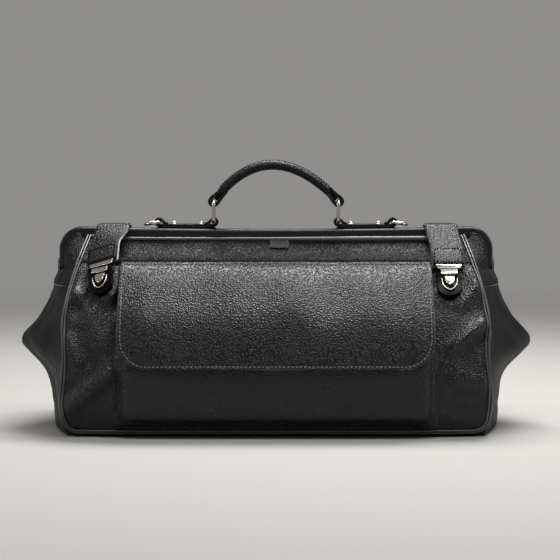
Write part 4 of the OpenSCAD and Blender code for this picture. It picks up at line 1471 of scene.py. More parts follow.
@dataclass
class Piping(Assembly):
    """Double bead of leather over the seams between panel, yoke and gussets, with a row of stitches inside it."""

    panel: Surface
    yoke: Surface
    face: Face
    bend: Bend
    bead_r: float = 1.25
    bead_gap: float = 3.1
    inset: float = 2.6
    corner: float = 16.0
    low: float = 6.5
    sewn_in: float = 4.8

    def line(self, inset: float, lift: float) -> tuple[Array, Array]:
        """Line down the yoke and one side of the panel, round its corners, along its foot and up the other side.

        Args:
            inset: Distance inside the sides.
            lift: Distance of the foot run above the piping.

        Returns:
            Points, smoothed where the yoke meets the panel, and directions out of the leather.
        """
        f, low, corner = self.form, self.low + lift, self.corner - lift
        z_side = np.linspace(f.seam_z - 1.5, low + corner, 60)
        x_side = f.edge(z_side) - inset
        turn = np.linspace(0, math.pi / 2, 12)[1:]
        x_turn = x_side[-1] - corner * (1 - np.cos(turn))
        x_foot = np.linspace(x_turn[-1], 0, 50)[1:]
        x = np.concatenate([x_side, x_turn, x_foot])
        z = np.concatenate([z_side, low + corner * (1 - np.sin(turn)), np.full(len(x_foot), low)])
        run = np.linspace(f.yoke_len, 1.5, 16)
        x_yoke = f.edge(f.yoke_z(run)) - inset
        runs = ((self.yoke, x_yoke, run), (self.panel, *both_halves(x, z)), (self.yoke, -x_yoke[::-1], run[::-1]))
        points = np.concatenate([surface(a, b) for surface, a, b in runs])
        lie = np.concatenate([normals(surface, a, b) for surface, a, b in runs])
        for _ in range(3):
            points[1:-1] = (points[:-2] + 2 * points[1:-1] + points[2:]) / 4
            lie[1:-1] = (lie[:-2] + 2 * lie[1:-1] + lie[2:]) / 4
        return points, unit(lie)

    def build(self) -> None:
        """Builds and settles the two beads and the stitches."""
        word = self.face.word
        path, out = self.line(self.inset, 0.0)
        side = unit(np.cross(np.gradient(path, axis=0), out))
        parts = [sweep(path + out * (self.bead_r * 0.8) + side * (s * self.bead_gap / 2), out,
                       round_wire(self.bead_r, 10)) for s in (-1, 1)]
        points, faces = join_parts(parts)
        settle(mesh_object(f"{word}_piping_beads", points, faces, [self.finishes.piping], sharp=60), TRIM, self.bend,
               f"{word}_piping", f"{word}_yoke_piping")
        sewn = Stitches(f"{word}_piping_stitches", self.finishes.dark_thread)
        sewn.on_line(*self.line(self.inset + self.sewn_in, self.sewn_in))
        settle(sewn.build(), TRIM, self.bend)


def refined(node: str, name: str, finish: Material, bevel: float) -> Object:
    """Copies the solid of a node and rounds its edges, as on cast and tumbled hardware.

    Args:
        node: Node of the frame.
        name: Name of the piece.
        finish: Finish.
        bevel: Width of the rounded edges in millimetres.

    Returns:
        The piece.
    """
    mesh = bpy.data.objects[node].data.copy()
    mesh.name = name
    mesh.materials.clear()
    mesh.materials.append(finish)
    work = bmesh.new()
    work.from_mesh(mesh)
    bmesh.ops.remove_doubles(work, verts=work.verts, dist=0.002 * MM)
    bmesh.ops.dissolve_limit(work, angle_limit=math.radians(2), verts=work.verts, edges=work.edges)
    for face in work.faces:
        face.material_index = 0
    work.to_mesh(mesh)
    work.free()
    return bevelled(link(name, mesh), bevel, 35)


@dataclass
class FlapPocket(Assembly):
    """Pocket on the front panel, the flap that covers it, and their sewing."""

    half: float = 178.0
    low: float = 14.0
    mouth: float = 100.0
    room: float = 11.5
    gather: float = 14.0
    thick: float = 2.4
    flap_half: float = 175.0
    flap_low: float = 76.0
    flap_top: float = 192.0
    corner: float = 31.0
    seat: float = 1.2
    swell: float = 18.0
    tucked: float = 2.4
    hem: float = 2.4
    sewn_in: float = 4.0

    def pocket_off(self, x: Array, z: Array) -> Array:
        """Distance of the pocket's outside from the panel."""
        bulge = smooth((self.half - np.abs(x)) / self.gather) * smooth((z - self.low) / self.gather)
        return self.form.clear + self.thick + bulge * (self.room + 0.8 * ripple(x, z, 70, 41))

    def pocket(self, x: Array, z: Array) -> Array:
        """Outside of the pocket."""
        return self.form.front(x, z, self.pocket_off(x, z))

    def flap_edge(self, z: Array) -> Array:
        """Half width of the flap at heights z, with round lower corners."""
        up = np.clip(np.asarray(z, float) - self.flap_low, 0, self.corner)
        return self.flap_half - self.corner + np.sqrt(np.clip(self.corner ** 2 - (self.corner - up) ** 2, 0, None))

    def flap(self, x: Array, z: Array) -> Array:
        """Outside of the flap: fuller below, with its sides falling back and a turned hem along its edge.

        Args:
            x: Places along the bag.
            z: Heights.

        Returns:
            Points of the flap.
        """
        x, z = arrays(x, z)
        inside = self.flap_edge(z) - np.abs(x)
        rim = np.minimum(inside, z - self.flap_low)
        drop = smooth((self.flap_top - z) / 40)
        reach = (self.flap_top - self.mouth) * (1 + 0.35 * ripple(x, np.full_like(z, 40.0), 42, 45))
        fall = np.clip((self.flap_top - z) / reach, 0, 1)
        off = self.seat + self.swell * (1 - (1 - fall) ** 2.4) - self.tucked * (1 - smooth((self.flap_top - z) / 12))
        off = off - drop * 6.0 * (1 - smooth(inside / 34))
        covered = np.where(z < self.mouth + 6, self.pocket_off(x, np.minimum(z, self.mouth)) + 1.2, 0)
        off = np.maximum(off, covered) + self.thick
        soft = smooth((self.flap_top - z) / 16) * smooth(inside / 20)
        off = off + soft * (2.4 * ripple(x, z, 80, 43) + 0.3 * ripple(x, z, 26, 44))
        hem = 0.5 * (1 - smooth((rim - self.hem + 0.9) / 1.2)) - 0.4 * bump(rim, self.hem + 0.4, 0.8)
        return self.form.front(x, z, off + hem)

    def build(self) -> None:
        """Builds and settles the pocket, the flap and their stitches."""
        z = np.linspace(self.low, self.mouth, 37)
        a, b = grid(z, np.full(len(z), self.half), 110)
        settle(self.hide("pocket_leather", self.pocket, a, b, self.thick), LEATHER, "bag", "pocket_panel")
        rows = np.concatenate([
            self.flap_low + self.corner * (1 - np.cos(np.linspace(0.0, math.pi / 2, 22))) * 0.98 + 0.3,
            np.linspace(self.flap_low + self.corner + 2, self.flap_top, 34),
        ])
        a, b = grid(rows, self.flap_edge(rows), 150)
        bend = Bend("bag", "pocket_flap", (0, -57.0, 193.0), (0, -67.0, 180.0))
        settle(self.hide("flap_leather", self.flap, a, b, self.thick), LEATHER, bend, "pocket_flap")
        self.build_stitches(bend)

    def build_stitches(self, bend: Bend) -> None:
        """Sews the pocket to the panel, the hem of the flap and the flap's upper edge.

        Args:
            bend: Bend of the flap at its sewn edge.
        """
        pocket_rows = Stitches("pocket_stitches", self.finishes.dark_thread)
        foot, edge = self.low + self.sewn_in, self.half - self.sewn_in
        z = np.linspace(foot, self.mouth - 2, 30)
        for s in (-1, 1):
            pocket_rows.on_surface(self.pocket, np.full_like(z, s * edge), z)
        pocket_rows.on_surface(self.pocket, np.linspace(-edge, edge, 100), foot)
        settle(pocket_rows.build(), TRIM, "bag")
        flap_rows = Stitches("flap_stitches", self.finishes.thread, thickness=1.2)
        inset, r = self.hem + 0.4, self.corner - self.hem - 0.4
        centre = self.flap_half - self.corner
        side_z = np.linspace(self.flap_top - 5, self.flap_low + self.corner, 24)
        turn = np.linspace(0, math.pi / 2, 14)[1:]
        x = np.concatenate([np.full(24, self.flap_half - inset), centre + r * np.cos(turn),
                            np.linspace(centre, 0, 30)[1:]])
        z = np.concatenate([side_z, self.flap_low + self.corner - r * np.sin(turn),
                            np.full(29, self.flap_low + inset)])
        flap_rows.on_surface(self.flap, *both_halves(x, z))
        settle(flap_rows.build(), TRIM, bend)
        top_rows = Stitches("flap_top_stitches", self.finishes.dark_thread)
        top_rows.on_surface(self.flap, np.linspace(6 - self.flap_half, self.flap_half - 6, 90), self.flap_top - 6.0)
        settle(top_rows.build(), TRIM, bend)


@dataclass
class Label(Assembly):
    """Small bare patch in the middle of the front yoke."""

    surface: Surface
    x: float = 3.5
    below_edge: float = 2.0
    width: float = 21.0
    height: float = 15.0
    thick: float = 1.2
    sewn_in: float = 1.6

    def build(self) -> None:
        """Builds and settles the patch and its stitches."""
        def face(x: Array, run: Array) -> Array:
            """Outside of the patch, which follows the yoke."""
            return self.surface(x, run) + normals(self.surface, *arrays(x, run)) * (self.form.clear + self.thick)
        middle = self.form.yoke_len - self.below_edge - self.height / 2
        a, b = np.meshgrid(self.x + np.linspace(-0.5, 0.5, 25) * self.width,
                           middle + np.linspace(-0.5, 0.5, 19) * self.height)
        patch = self.hide("label_leather", face, a, b, self.thick, outside=self.finishes.label)
        settle(patch, TRIM, "front_jaw", "label_patch")
        w, h = self.width / 2 - self.sewn_in, self.height / 2 - self.sewn_in
        sewn = Stitches("label_stitches", self.finishes.grey_thread, 2.4, 1.8, 0.6)
        corners = np.array([(-w, -h), (w, -h), (w, h), (-w, h), (-w, -h)])
        line = np.concatenate([np.linspace(p, q, 10) for p, q in zip(corners[:-1], corners[1:])])
        sewn.on_surface(face, line[:, 0] + self.x, line[:, 1] + middle)
        settle(sewn.build(), TRIM, "front_jaw")


@dataclass
class Handle(Assembly):
    """Rolled grip, its loops and rings, the riveted tabs on the rear jaw and the rings for a shoulder strap."""

    pad_t: float = 2.9
    ring_x: float = 72.5
    d_ring_x: float = 136.0
    tab_w: float = 11.0
    tab_t: float = 3.3
    fold_x: Pair = (10.0, 5.5)
    fold_z: Pair = (1.7, 3.4)
    tab_sewn: Pair = (9.0, 1.4)
    loop_z: float = 234.9
    upper_z: float = 258.9
    wire_r: float = 2.0
    wire_gap: float = 0.25
    ring_half: float = 10.0
    ring_corner: float = 4.0
    grip_end: float = 62.0
    grip_rise: float = 42.0
    grip_r: float = 5.5
    loop_w: float = 14.0
    loop_t: float = 4.4
    d_arc: float = 12.0
    d_run: float = 5.0
    d_droop: float = 8.46
    rivet_x: Pair = (87.0, 119.0)
    rivet_d: float = 7.0
    skew: float = 4.0

    @property
    def tab_top(self) -> float:
        """Height of a tab's upper side."""
        return self.loop_z - self.wire_r - self.wire_gap

    def grip_z(self, x: Array) -> Array:
        """Height of the grip's middle."""
        return self.upper_z + self.grip_rise * (1 - (np.asarray(x) / self.ring_x) ** 2)

    def flat(self, x: Array, z: Array) -> Array:
        """Points over the rear jaw from places and heights."""
        return np.stack([x, np.full(np.shape(x), self.form.bar_y), z], -1)

    def grip_line(self, x: Array) -> Array:
        """Line of the grip, which is worn a little to the left."""
        return self.flat(x - self.skew * (1 - (x / self.ring_x) ** 2), self.grip_z(x))

    def tab(self, side: Side) -> Object:
        """Strip that is folded round a ring at both ends, skived where it lies on itself, over a leather pad.

        Args:
            side: End of the bag.

        Returns:
            The piece.
        """
        r = self.wire_r + self.wire_gap + self.tab_t / 2
        fold_x, fold_z = np.array(self.fold_x), np.array(self.fold_z)
        inner, outer = np.radians(np.linspace(62, 270, 22)), np.radians(np.linspace(-90, 118, 22))
        x = np.concatenate([self.ring_x + fold_x, self.ring_x + r * np.cos(inner),
                            np.linspace(self.ring_x + 4, self.d_ring_x - 4, 20), self.d_ring_x + r * np.cos(outer),
                            self.d_ring_x - fold_x[::-1]])
        base = self.loop_z - r
        z = np.concatenate([base + fold_z, self.loop_z + r * np.sin(inner), np.full(20, base),
                            self.loop_z + r * np.sin(outer), base + fold_z[::-1]])
        strip = sweep(self.flat(x * side.value, z), ACROSS, round_bar(self.tab_w, self.tab_t, 1.1, 4))
        x = np.linspace(self.ring_x - 2.5, self.d_ring_x + 2.5, 30)
        full = 0.35 + 0.65 * smooth(np.minimum(x - x[0], x[-1] - x) / 5)
        rest = self.flat(x * side.value, self.form.jaw_top - self.form.sag(x) + self.pad_t * full / 2)
        pad = sweep(rest, ACROSS, round_bar(self.tab_w + 0.4, self.pad_t, 1.2, 4)[None] * np.stack(
            [0.5 + 0.5 * full, full], -1)[:, None])
        points, faces = join_parts([strip, pad])
        return mesh_object(f"{side.word}_tab_leather", points, faces, [self.finishes.trim], sharp=60)

    def loop(self, side: Side) -> Object:
        """Band from the end of the grip round the upper bar of a ring and back into the grip.

        Args:
            side: End of the bag.

        Returns:
            The piece.
        """
        reach = np.array([self.grip_end - self.ring_x, self.grip_z(self.grip_end) - self.upper_z])
        way = math.atan2(reach[1], reach[0])
        r, length = self.wire_r + 0.3 + self.loop_t / 2, float(np.hypot(*reach))
        turn = np.linspace(math.pi / 2, 1.5 * math.pi, 22)
        leg = np.array([length + 4, length + 1, length * 0.75, length * 0.45, length * 0.18])
        thin = np.array([1.6, 2.4, 3.4, 4.2, self.loop_t])
        spread = self.grip_r - thin / 2 - np.array([0.9, 0.15, 0.0, -0.45, self.grip_r - self.loop_t / 2 - r])
        along = np.concatenate([leg, r * np.cos(turn), leg[::-1]])
        aside = np.concatenate([spread, r * np.sin(turn), -spread[::-1]])
        thick = np.concatenate([thin, np.full(22, self.loop_t), thin[::-1]])
        x = self.ring_x + along * math.cos(way) - aside * math.sin(way)
        z = self.upper_z + along * math.sin(way) + aside * math.cos(way)
        width = np.interp(along, [-5, length * 0.45, length, length + 3], [self.loop_w, self.loop_w, 8.6, 7.0])
        sections = np.stack([round_bar(w, t, 0.78, 4) for w, t in zip(width, thick)])
        return swept(f"{side.word}_loop_leather", self.finishes.trim, self.flat(x * side.value, z), ACROSS, sections)

    def grip(self) -> Object:
        """Rolled leather grip with its sewn seam underneath and ends that run out between the loops.

        Returns:
            The piece.
        """
        last = self.ring_x - 1.9
        x = np.concatenate([[-last], np.linspace(-last + 0.2, last - 0.2, 81), [last]])
        turn = np.linspace(0, 2 * math.pi, 28, endpoint=False)
        full = self.grip_r * (0.93 + 0.07 * np.cos(x / self.grip_end * math.pi / 2))
        full -= (full - self.wire_r - 0.6) * smooth((np.abs(x) - self.grip_end) / 4)
        full[[0, -1]] *= 0.7
        keel = 1 + 0.1 * bump(turn, 1.5 * math.pi, 0.2)
        ring = np.stack([np.cos(turn) * keel, np.sin(turn) * keel], -1)
        return swept("grip_leather", self.finishes.trim, self.grip_line(x), -ACROSS, full[:, None, None] * ring)

    def ring(self, side: Side) -> Object:
        """Rectangular wire ring that hangs the handle in a tab.

        Args:
            side: End of the bag.

        Returns:
            The piece.
        """
        c = self.ring_corner
        high, low = self.upper_z, self.loop_z
        points = []
        for sign, z, first in ((1, high - c, 0), (-1, high - c, 90), (-1, low + c, 180), (1, low + c, 270)):
            turn = np.radians(np.linspace(first, first + 90, 8))
            y = self.form.bar_y + sign * (self.ring_half - c) + c * np.cos(turn)
            points.append(np.stack([np.full(8, self.ring_x * side.value), y, z + c * np.sin(turn)], -1))
        path = np.concatenate(points)
        return swept(f"{side.word}_ring_wire", self.finishes.nickel, path, ALONG, round_wire(self.wire_r, 16), True)

    def d_ring(self, side: Side) -> Object:
        """Wire ring with one straight side, lying on the jaw.

        Args:
            side: End of the bag.

        Returns:
            The piece.
        """
        turn = np.linspace(-math.pi / 2, math.pi / 2, 30)
        arc = np.stack([self.d_run + self.d_arc * np.cos(turn), self.d_arc * np.sin(turn)], -1)
        start = np.array([(0.0, -self.d_arc + 2.2), (0.25, -self.d_arc + 0.7), (0.95, -self.d_arc + 0.05)])
        straight = np.stack([np.zeros(9), np.linspace(self.d_arc - 3.4, 3.4 - self.d_arc, 9)], -1)
        line = np.concatenate([start, arc, start[::-1] * (1, -1), straight])
        droop = math.radians(self.d_droop)
        x, z = self.d_ring_x + line[:, 0] * math.cos(droop), self.loop_z - line[:, 0] * math.sin(droop)
        path = np.column_stack([x * side.value, line[:, 1] + self.form.bar_y, z])
        lie = np.array([math.sin(droop) * side.value, 0, math.cos(droop)])
        return swept(f"{side.word}_d_ring_wire", self.finishes.nickel, path, lie, round_wire(self.wire_r, 16), True)

    def rivet_tree(self) -> NodeTree:
        """Geometry Nodes that set a domed rivet head on each point.

        Returns:
            The tree, with the diameter and the metal as inputs.
        """
        tree, given = node_group("rivet_heads", {"Diameter": "Float", "Metal": "Material"})
        ball = add(tree, "GeometryNodeMeshUVSphere", {"Segments": 28, "Rings": 14, "Radius": 0.5})
        dome = add(tree, "GeometryNodeTransform", {"Geometry": ball.outputs[0], "Scale": (0.88, 0.88, 0.9)})
        foot = add(tree, "GeometryNodeTransform", {"Geometry": ball.outputs[0], "Scale": (1.1, 1.1, 0.22)})
        head = add(tree, "GeometryNodeJoinGeometry")
        for part in (dome, foot):
            tree.links.new(part.outputs[0], head.inputs[0])
        size = add(tree, "ShaderNodeCombineXYZ", {axis: given["Diameter"] for axis in "XYZ"})
        copies = add(tree, "GeometryNodeInstanceOnPoints", {
            "Points": given["Geometry"], "Instance": head.outputs[0], "Scale": size.outputs[0]})
        end_group(tree, copies, given["Metal"])
        return tree

    def rivets(self) -> Object:
        """Rivet heads on both tabs.

        Returns:
            The piece.
        """
        z = self.tab_top + 0.3
        places = [(s * x * MM, self.form.bar_y * MM, z * MM) for s in (-1, 1) for x in self.rivet_x]
        mesh = bpy.data.meshes.new("tab_rivet_heads")
        mesh.from_pydata(places, [], [])
        values = {"Diameter": self.rivet_d * MM, "Metal": self.finishes.nickel}
        return with_nodes(link("tab_rivet_heads", mesh), self.rivet_tree(), values, sharp=60.0)

    def build(self) -> None:
        """Builds and settles the handle and what holds it."""
        for side in Side:
            word = side.word
            settle(self.tab(side), TRIM, "rear_jaw", f"{word}_handle_tab")
            settle(self.ring(side), NICKEL, f"{word}_handle_ring", f"{word}_handle_ring")
            settle(self.d_ring(side), NICKEL, f"{word}_d_ring", f"{word}_d_ring")
            settle(self.loop(side), TRIM, "handle", f"{word}_handle_loop")
        settle(self.rivets(), NICKEL, "rear_jaw", "tab_rivets")
        settle(self.grip(), TRIM, "handle", "handle_grip")
        self.build_stitches()

    def build_stitches(self) -> None:
        """Sews the grip underneath and the edges of the tabs."""
        sewn = Stitches("grip_stitches", self.finishes.dark_thread, 3.6, 2.8, 0.8)
        x = np.linspace(-0.95, 0.95, 70) * self.grip_end
        line = self.grip_line(x)
        out = unit(np.cross(np.gradient(line, axis=0), -ACROSS))
        sewn.on_line(line - out * self.grip_r * 1.1, -out)
        settle(sewn.build(), TRIM, "handle")
        tabs = Stitches("tab_stitches", self.finishes.dark_thread, 3.2, 2.4, 0.6)
        end, edge = self.tab_sewn[0], self.tab_w / 2 - self.tab_sewn[1]
        x = np.linspace(self.ring_x + end, self.d_ring_x - end, 20)
        for s in (-1, 1):
            for y in (-1, 1):
                line = [x * s, np.full(20, self.form.bar_y + y * edge), np.full(20, self.tab_top)]
                tabs.on_line(np.column_stack(line), UP)
        settle(tabs.build(), TRIM, "rear_jaw")


@dataclass
class StrapLock(Assembly):
    """One closing strap with its stitched end patch, and the press lock that it closes on."""

    side: Side
    twist: float = 0.0
    tilt: float = 4.0
    width: float = 36.0
    thick: float = 3.0
    end_z: float = 182.5
    lift: float = 5.0
    front_y: float = -13.5
    over_z: float = 230.8
    bend_r: float = 6.0
    held: float = 29.0
    back_y: float = 11.0
    back_r: float = 2.2
    anchor_z: float = 220.5
    sewn_in: float = 2.6
    sewn_end: float = 2.5
    patch_w: float = 35.0
    patch_l: float = 26.0
    patch_gap: float = 1.0
    patch_round: float = 6.0
    patch_sewn: float = 1.8
    patch_low: float = 4.2
    patch_high: float = 7.0
    lock_w: float = 28.0
    lock_seat: float = 0.5
    lock_top: float = 8.0
    button_w: float = 12.5
    button_l: float = 15.0
    button_top: float = 9.5
    spring_low: float = 0.9
    spring_high: float = 3.1
    spring_r: float = 4.7
    spring_wire: float = 0.17
    spring_turns: float = 2.5
    spring_keep: float = 0.33
    button_foot: float = 3.2
    button_rings: tuple[Pair, ...] = ((1.0, 1.1), (0.97, 0.5), (0.9, 0.15), (0.6, -0.05), (0.25, -0.1))
    button_out: float = 0.3
    wedge: float = 0.22
    rim_out: float = 2.4
    rim_r: float = 0.8
    rim_top: float = 5.0
    flare_low: float = 3.2
    flare_high: float = 5.8
    bar_low: float = 8.4
    bar_high: float = 10.2

    @property
    def twist_lift(self) -> float:
        """Distance that a turned lock stands further off, so that its lower side clears the bag."""
        return self.lock_w / 2 * math.sin(math.radians(self.twist))

    @property
    def end(self) -> Array:
        """Underside of the strap at its lower end."""
        return self.form.front(self.side.value * self.form.lock_x, self.end_z, self.lift + self.twist_lift)

    @property
    def lean(self) -> float:
        """Angle of the strap's front run from upright, in radians."""
        end = self.end
        return math.atan2(self.front_y - end[1], self.over_z - end[2])

    def course(self) -> tuple[Array, Array, Array]:
        """Line of the strap from its lower end over the mouth to its anchor behind.

        Returns:
            Points of its underside, directions across and directions out of it.
        """
        end, a = self.end, self.lean
        corner = np.array([end[0], self.front_y, self.over_z])
        cut = self.bend_r * math.tan((math.pi / 2 - a) / 2)
        up = np.array([0, math.sin(a), math.cos(a)])
        foot = corner - cut * up
        length = float(np.linalg.norm(foot - end))
        run = np.linspace(0, length, 30)
        front = end + run[:, None] * up
        turn = np.linspace(a, math.pi / 2, 9)[1:]
        bend = np.stack([np.zeros(8), math.cos(a) - np.cos(turn), np.sin(turn) - math.sin(a)], -1)
        bend = foot + self.bend_r * bend
        top_y = np.linspace(bend[-1][1], self.back_y, 10)[1:]
        top = np.stack([np.full(9, end[0]), top_y, np.full(9, self.over_z)], -1)
        fall = np.linspace(0, math.pi / 2, 8)[1:]
        back = np.stack([np.full(7, end[0]), self.back_y + self.back_r * np.sin(fall),
                         self.over_z - self.back_r * (1 - np.cos(fall))], -1)
        down_z = np.linspace(back[-1][2], self.anchor_z, 6)[1:]
        down = np.stack([np.full(5, end[0]), np.full(5, back[-1][1]), down_z], -1)
        points = np.concatenate([front, bend, top, back, down])
        slope = np.concatenate([np.full(30, a), turn, np.full(9, math.pi / 2), math.pi / 2 + fall,
                                np.full(5, math.pi)])
        lie = np.stack([np.zeros(len(slope)), -np.cos(slope), np.sin(slope)], -1)
        far = np.concatenate([run, np.full(len(slope) - 30, length)])
        eased = smooth((far - self.held) / max(length - self.held, 1))
        points[:, 0] -= self.side.value * self.tilt * eased
        turned = np.radians(self.twist) * (1 - eased)[:, None]
        return points, np.cos(turned) * ALONG + np.sin(turned) * lie, np.cos(turned) * lie - np.sin(turned) * ALONG

    def surface(self) -> tuple[Surface, float]:
        """Outside of the strap, and its length.

        Returns:
            Surface over the place across and the distance along, and the length.
        """
        points, across, lie = self.course()
        along = np.concatenate([[0], np.cumsum(np.linalg.norm(np.diff(points, axis=0), axis=1))])

        def outside(u: Array, v: Array) -> Array:
            """Points of the strap's outside, a little crowned."""
            p, w, n = [np.stack([np.interp(v, along, part[:, i]) for i in range(3)], -1)
                       for part in (points, across, lie)]
            return p + w * u[..., None] + n * (self.thick - 0.5 * (u / self.width * 2) ** 4)[..., None]
        return outside, float(along[-1])

    def end_frame(self) -> Matrix:
        """Frame at the strap's lower end: X across, Y up the strap, Z out of it."""
        return (Matrix.Translation(Vector(self.end)) @ Matrix.Rotation(math.pi / 2 - self.lean, 4, "X")
                @ Matrix.Rotation(-math.radians(self.twist), 4, "Y"))

    def lock_frame(self) -> Matrix:
        """Frame at the lock's back.

        Returns:
            Its place, with X across, Y up the panel and Z out of it.
        """
        at = self.form.front(self.side.value * self.form.lock_x, self.form.lock_z, self.lock_seat + self.twist_lift)
        lean = math.atan2(1, -self.form.slope(self.form.lock_z))
        return (Matrix.Translation(Vector(at)) @ Matrix.Rotation(lean, 4, "X")
                @ Matrix.Rotation(-math.radians(self.twist), 4, "Y"))

    @staticmethod
    def shield(half: float, top: float, low: float) -> Array:
        """Line down one side of a shield, round its point and up the other side.

        Args:
            half: Half width.
            top: Place of its upper end.
            low: Place of its point.

        Returns:
            Points of the line.
        """
        t = 1 - (1 - np.linspace(0, 1, 16)) ** 1.8
        right = np.stack([half * (1 - t ** 2.4) ** 0.62, top - (top - low) * t], -1)
        return np.concatenate([right * (-1, 1), right[-2::-1]])

    def button(self) -> Object:
        """Press button: a shield whose slightly crowned face stands out further towards its point.

        Returns:
            The piece.
        """
        top, low = self.button_top - 0.2, self.button_top - self.button_l
        outline = self.shield(self.button_w / 2 - 0.2, top, low)
        middle, n = np.array([0, (top + low) / 2]), len(outline)
        rings = [np.column_stack([outline, np.full(n, self.button_foot)])]
        for share, down in self.button_rings:
            flat = middle + (outline - middle) * share
            face = self.lock_top + self.button_out + self.wedge * (top - flat[:, 1])
            rings.append(np.column_stack([flat, face - down]))
        faces = [list(range(n))[::-1], list(range(len(rings) * n - n, len(rings) * n))]
        faces += [[r * n + i, r * n + (i + 1) % n, (r + 1) * n + (i + 1) % n, (r + 1) * n + i]
                  for r in range(len(rings) - 1) for i in range(n)]
        points = placed(np.concatenate(rings), self.lock_frame())
        return mesh_object(f"{self.side.word}_lock_button_metal", points, faces, [self.finishes.nickel], sharp=35)

    def tongue(self) -> Object:
        """Tongue of the strap: a flared plate, and the bar below it that lies on the lock.

        Returns:
            The piece.
        """
        word, nickel = self.side.word, self.finishes.nickel
        flare = np.array([(-14.7, 0.3), (-14.5, -1.6), (-12.4, -6.2), (12.4, -6.2), (14.5, -1.6), (14.7, 0.3)])
        bar = np.array([(-9.6, 15.5), (-9.6, 10.8), (-8.4, 9.6), (8.4, 9.6), (9.6, 10.8), (9.6, 15.5)])
        upper = plate(f"{word}_tongue_flare", flare, self.flare_low, self.flare_high, self.end_frame(), nickel, 0.7)
        lower = plate(f"{word}_tongue_bar", bar, self.bar_low, self.bar_high, self.lock_frame(), nickel, 0.6)
        return merged(f"{word}_lock_tongue_metal", [upper, lower])

    def rim(self) -> Object:
        """Bright wire rim on the lock case, round the lower part of the button.

        Returns:
            The piece.
        """
        low = self.button_top - self.button_l - 2 * self.rim_out
        line = self.shield(self.button_w / 2 + self.rim_out, self.rim_top, low)
        place = self.lock_frame()
        path = placed(np.column_stack([line, np.full(len(line), self.lock_top)]), place)
        wire = round_wire(self.rim_r, 12)
        return swept(f"{self.side.word}_lock_rim", self.finishes.nickel, path, facing(place), wire)

    def build_spring(self) -> None:
        """Builds the coil under the button, at rest. The real coil flattens as the button is pressed."""
        word, wire, place = self.side.word, self.spring_wire, self.lock_frame()
        turn = np.linspace(0, 2 * math.pi * self.spring_turns, 100)
        y = self.button_top - self.button_l / 2 + self.spring_r * np.sin(turn)
        rise = np.linspace(self.spring_low + wire, self.spring_high - wire, len(turn))
        path = placed(np.stack([self.spring_r * np.cos(turn), y, rise], -1), place)
        coil = swept(f"{word}_lock_coil", self.finishes.steel, path, facing(place), round_wire(wire, 8))
        settle(coil, NICKEL, "bag", f"{word}_lock_spring")
        foot = placed(np.array([0, 0, self.spring_low]), place)
        tuple(facing(place))
        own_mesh(coil)

    def build(self) -> None:
        """Builds and settles the strap, its patch and the lock."""
        word, x = self.side.word, self.side.value * self.form.lock_x
        bend = Bend("rear_jaw", f"{word}_strap", (x, 15.0, 228.0), (x, 5.0, 233.0))
        outside, length = self.surface()
        v = np.linspace(0, length, 96)
        a, b = grid(v, np.full(len(v), self.width / 2), 24)
        strap = self.hide(f"{word}_strap_leather", outside, a, b, self.thick - 0.3, outside=self.finishes.trim)
        settle(strap, TRIM, bend, f"{word}_strap", f"{word}_strap_anchor")
        sewn = Stitches(f"{word}_strap_stitches", self.finishes.grey_thread, thickness=1.0)
        line, edge = np.linspace(self.sewn_end, length - self.sewn_end, 80), self.width / 2 - self.sewn_in
        for s in (-1, 1):
            sewn.on_surface(outside, np.full_like(line, s * edge), line)
        for end in (line[0], line[-1]):
            sewn.on_surface(outside, np.linspace(-1, 1, 12) * edge, end)
        settle(sewn.build(), TRIM, bend)
        self.build_patch()
        self.build_spring()
        settle(self.rim(), NICKEL, "bag")
        case = refined(f"{word}_lock_case", f"{word}_lock_case_metal", self.finishes.gunmetal, 0.5)
        for node, piece, body in (("case", case, "bag"), ("tongue", self.tongue(), f"{word}_strap"),
                                  ("button", self.button(), f"{word}_lock_button")):
            settle(piece, NICKEL, body, f"{word}_lock_{node}")

    def patch_outline(self, inset: float) -> Array:
        """Outline of the patch, with round upper corners.

        Args:
            inset: Distance inside its edge.

        Returns:
            Points round the patch.
        """
        w, r = self.patch_w / 2 - inset, self.patch_round - inset / 2
        low, high = self.patch_gap + inset, self.patch_gap + self.patch_l - inset
        turn = np.linspace(0, math.pi / 2, 7)
        right = np.stack([w - r + r * np.cos(turn), high - r + r * np.sin(turn)], -1)
        return np.concatenate([[(-w, low), (w, low)], right, (right * (-1, 1))[::-1]])

    def build_patch(self) -> None:
        """Builds the end patch and the stitches round it."""
        word, place = self.side.word, self.end_frame()
        patch = plate(f"{word}_patch_leather", self.patch_outline(0), self.patch_low - 0.8, self.patch_high, place,
                      self.finishes.trim, 0.8)
        settle(patch, TRIM, f"{word}_strap", f"{word}_strap_patch")
        # Thick black stitches round the patch, which also paint the shaded groove along its edge.
        sewn = Stitches(f"{word}_patch_stitches", self.finishes.black_thread, 3.2, 2.4, 1.5)
        outline = self.patch_outline(self.patch_sewn)
        outline = np.concatenate([outline, outline[:1]])
        fine = np.concatenate([np.linspace(p, q, 8, endpoint=False) for p, q in zip(outline[:-1], outline[1:])])
        sewn.on_line(placed(np.column_stack([fine, np.full(len(fine), self.patch_high)]), place), facing(place))
        settle(sewn.build(), TRIM, f"{word}_strap")


@dataclass
class HiddenParts:
    """Solids of the frame that lie inside the leather and keep their own shape."""

    finishes: Finishes

    def dress(self, nodes: dict[str, Object]) -> None:
        """Puts the finishes on the solids.

        Args:
            nodes: Objects of the frame by name.
        """
        f, steel = self.finishes, ["front_jaw_bar", "rear_jaw_bar", "pocket_magnet", "flap_magnet"]
        for side in Side:
            steel += [f"{side.word}_hinge_pin", f"{side.word}_lock_cover"]
        hide_tone_and_valley_shade = {**dict.fromkeys(steel, f.steel), "base_board": f.board, "handle_core": f.core}
        for name, finish in hide_tone_and_valley_shade.items():
            slots = nodes[name].data.materials
            slots.clear()
            slots.append(finish)
            LOG.info("%s: %s", name, finish.name)


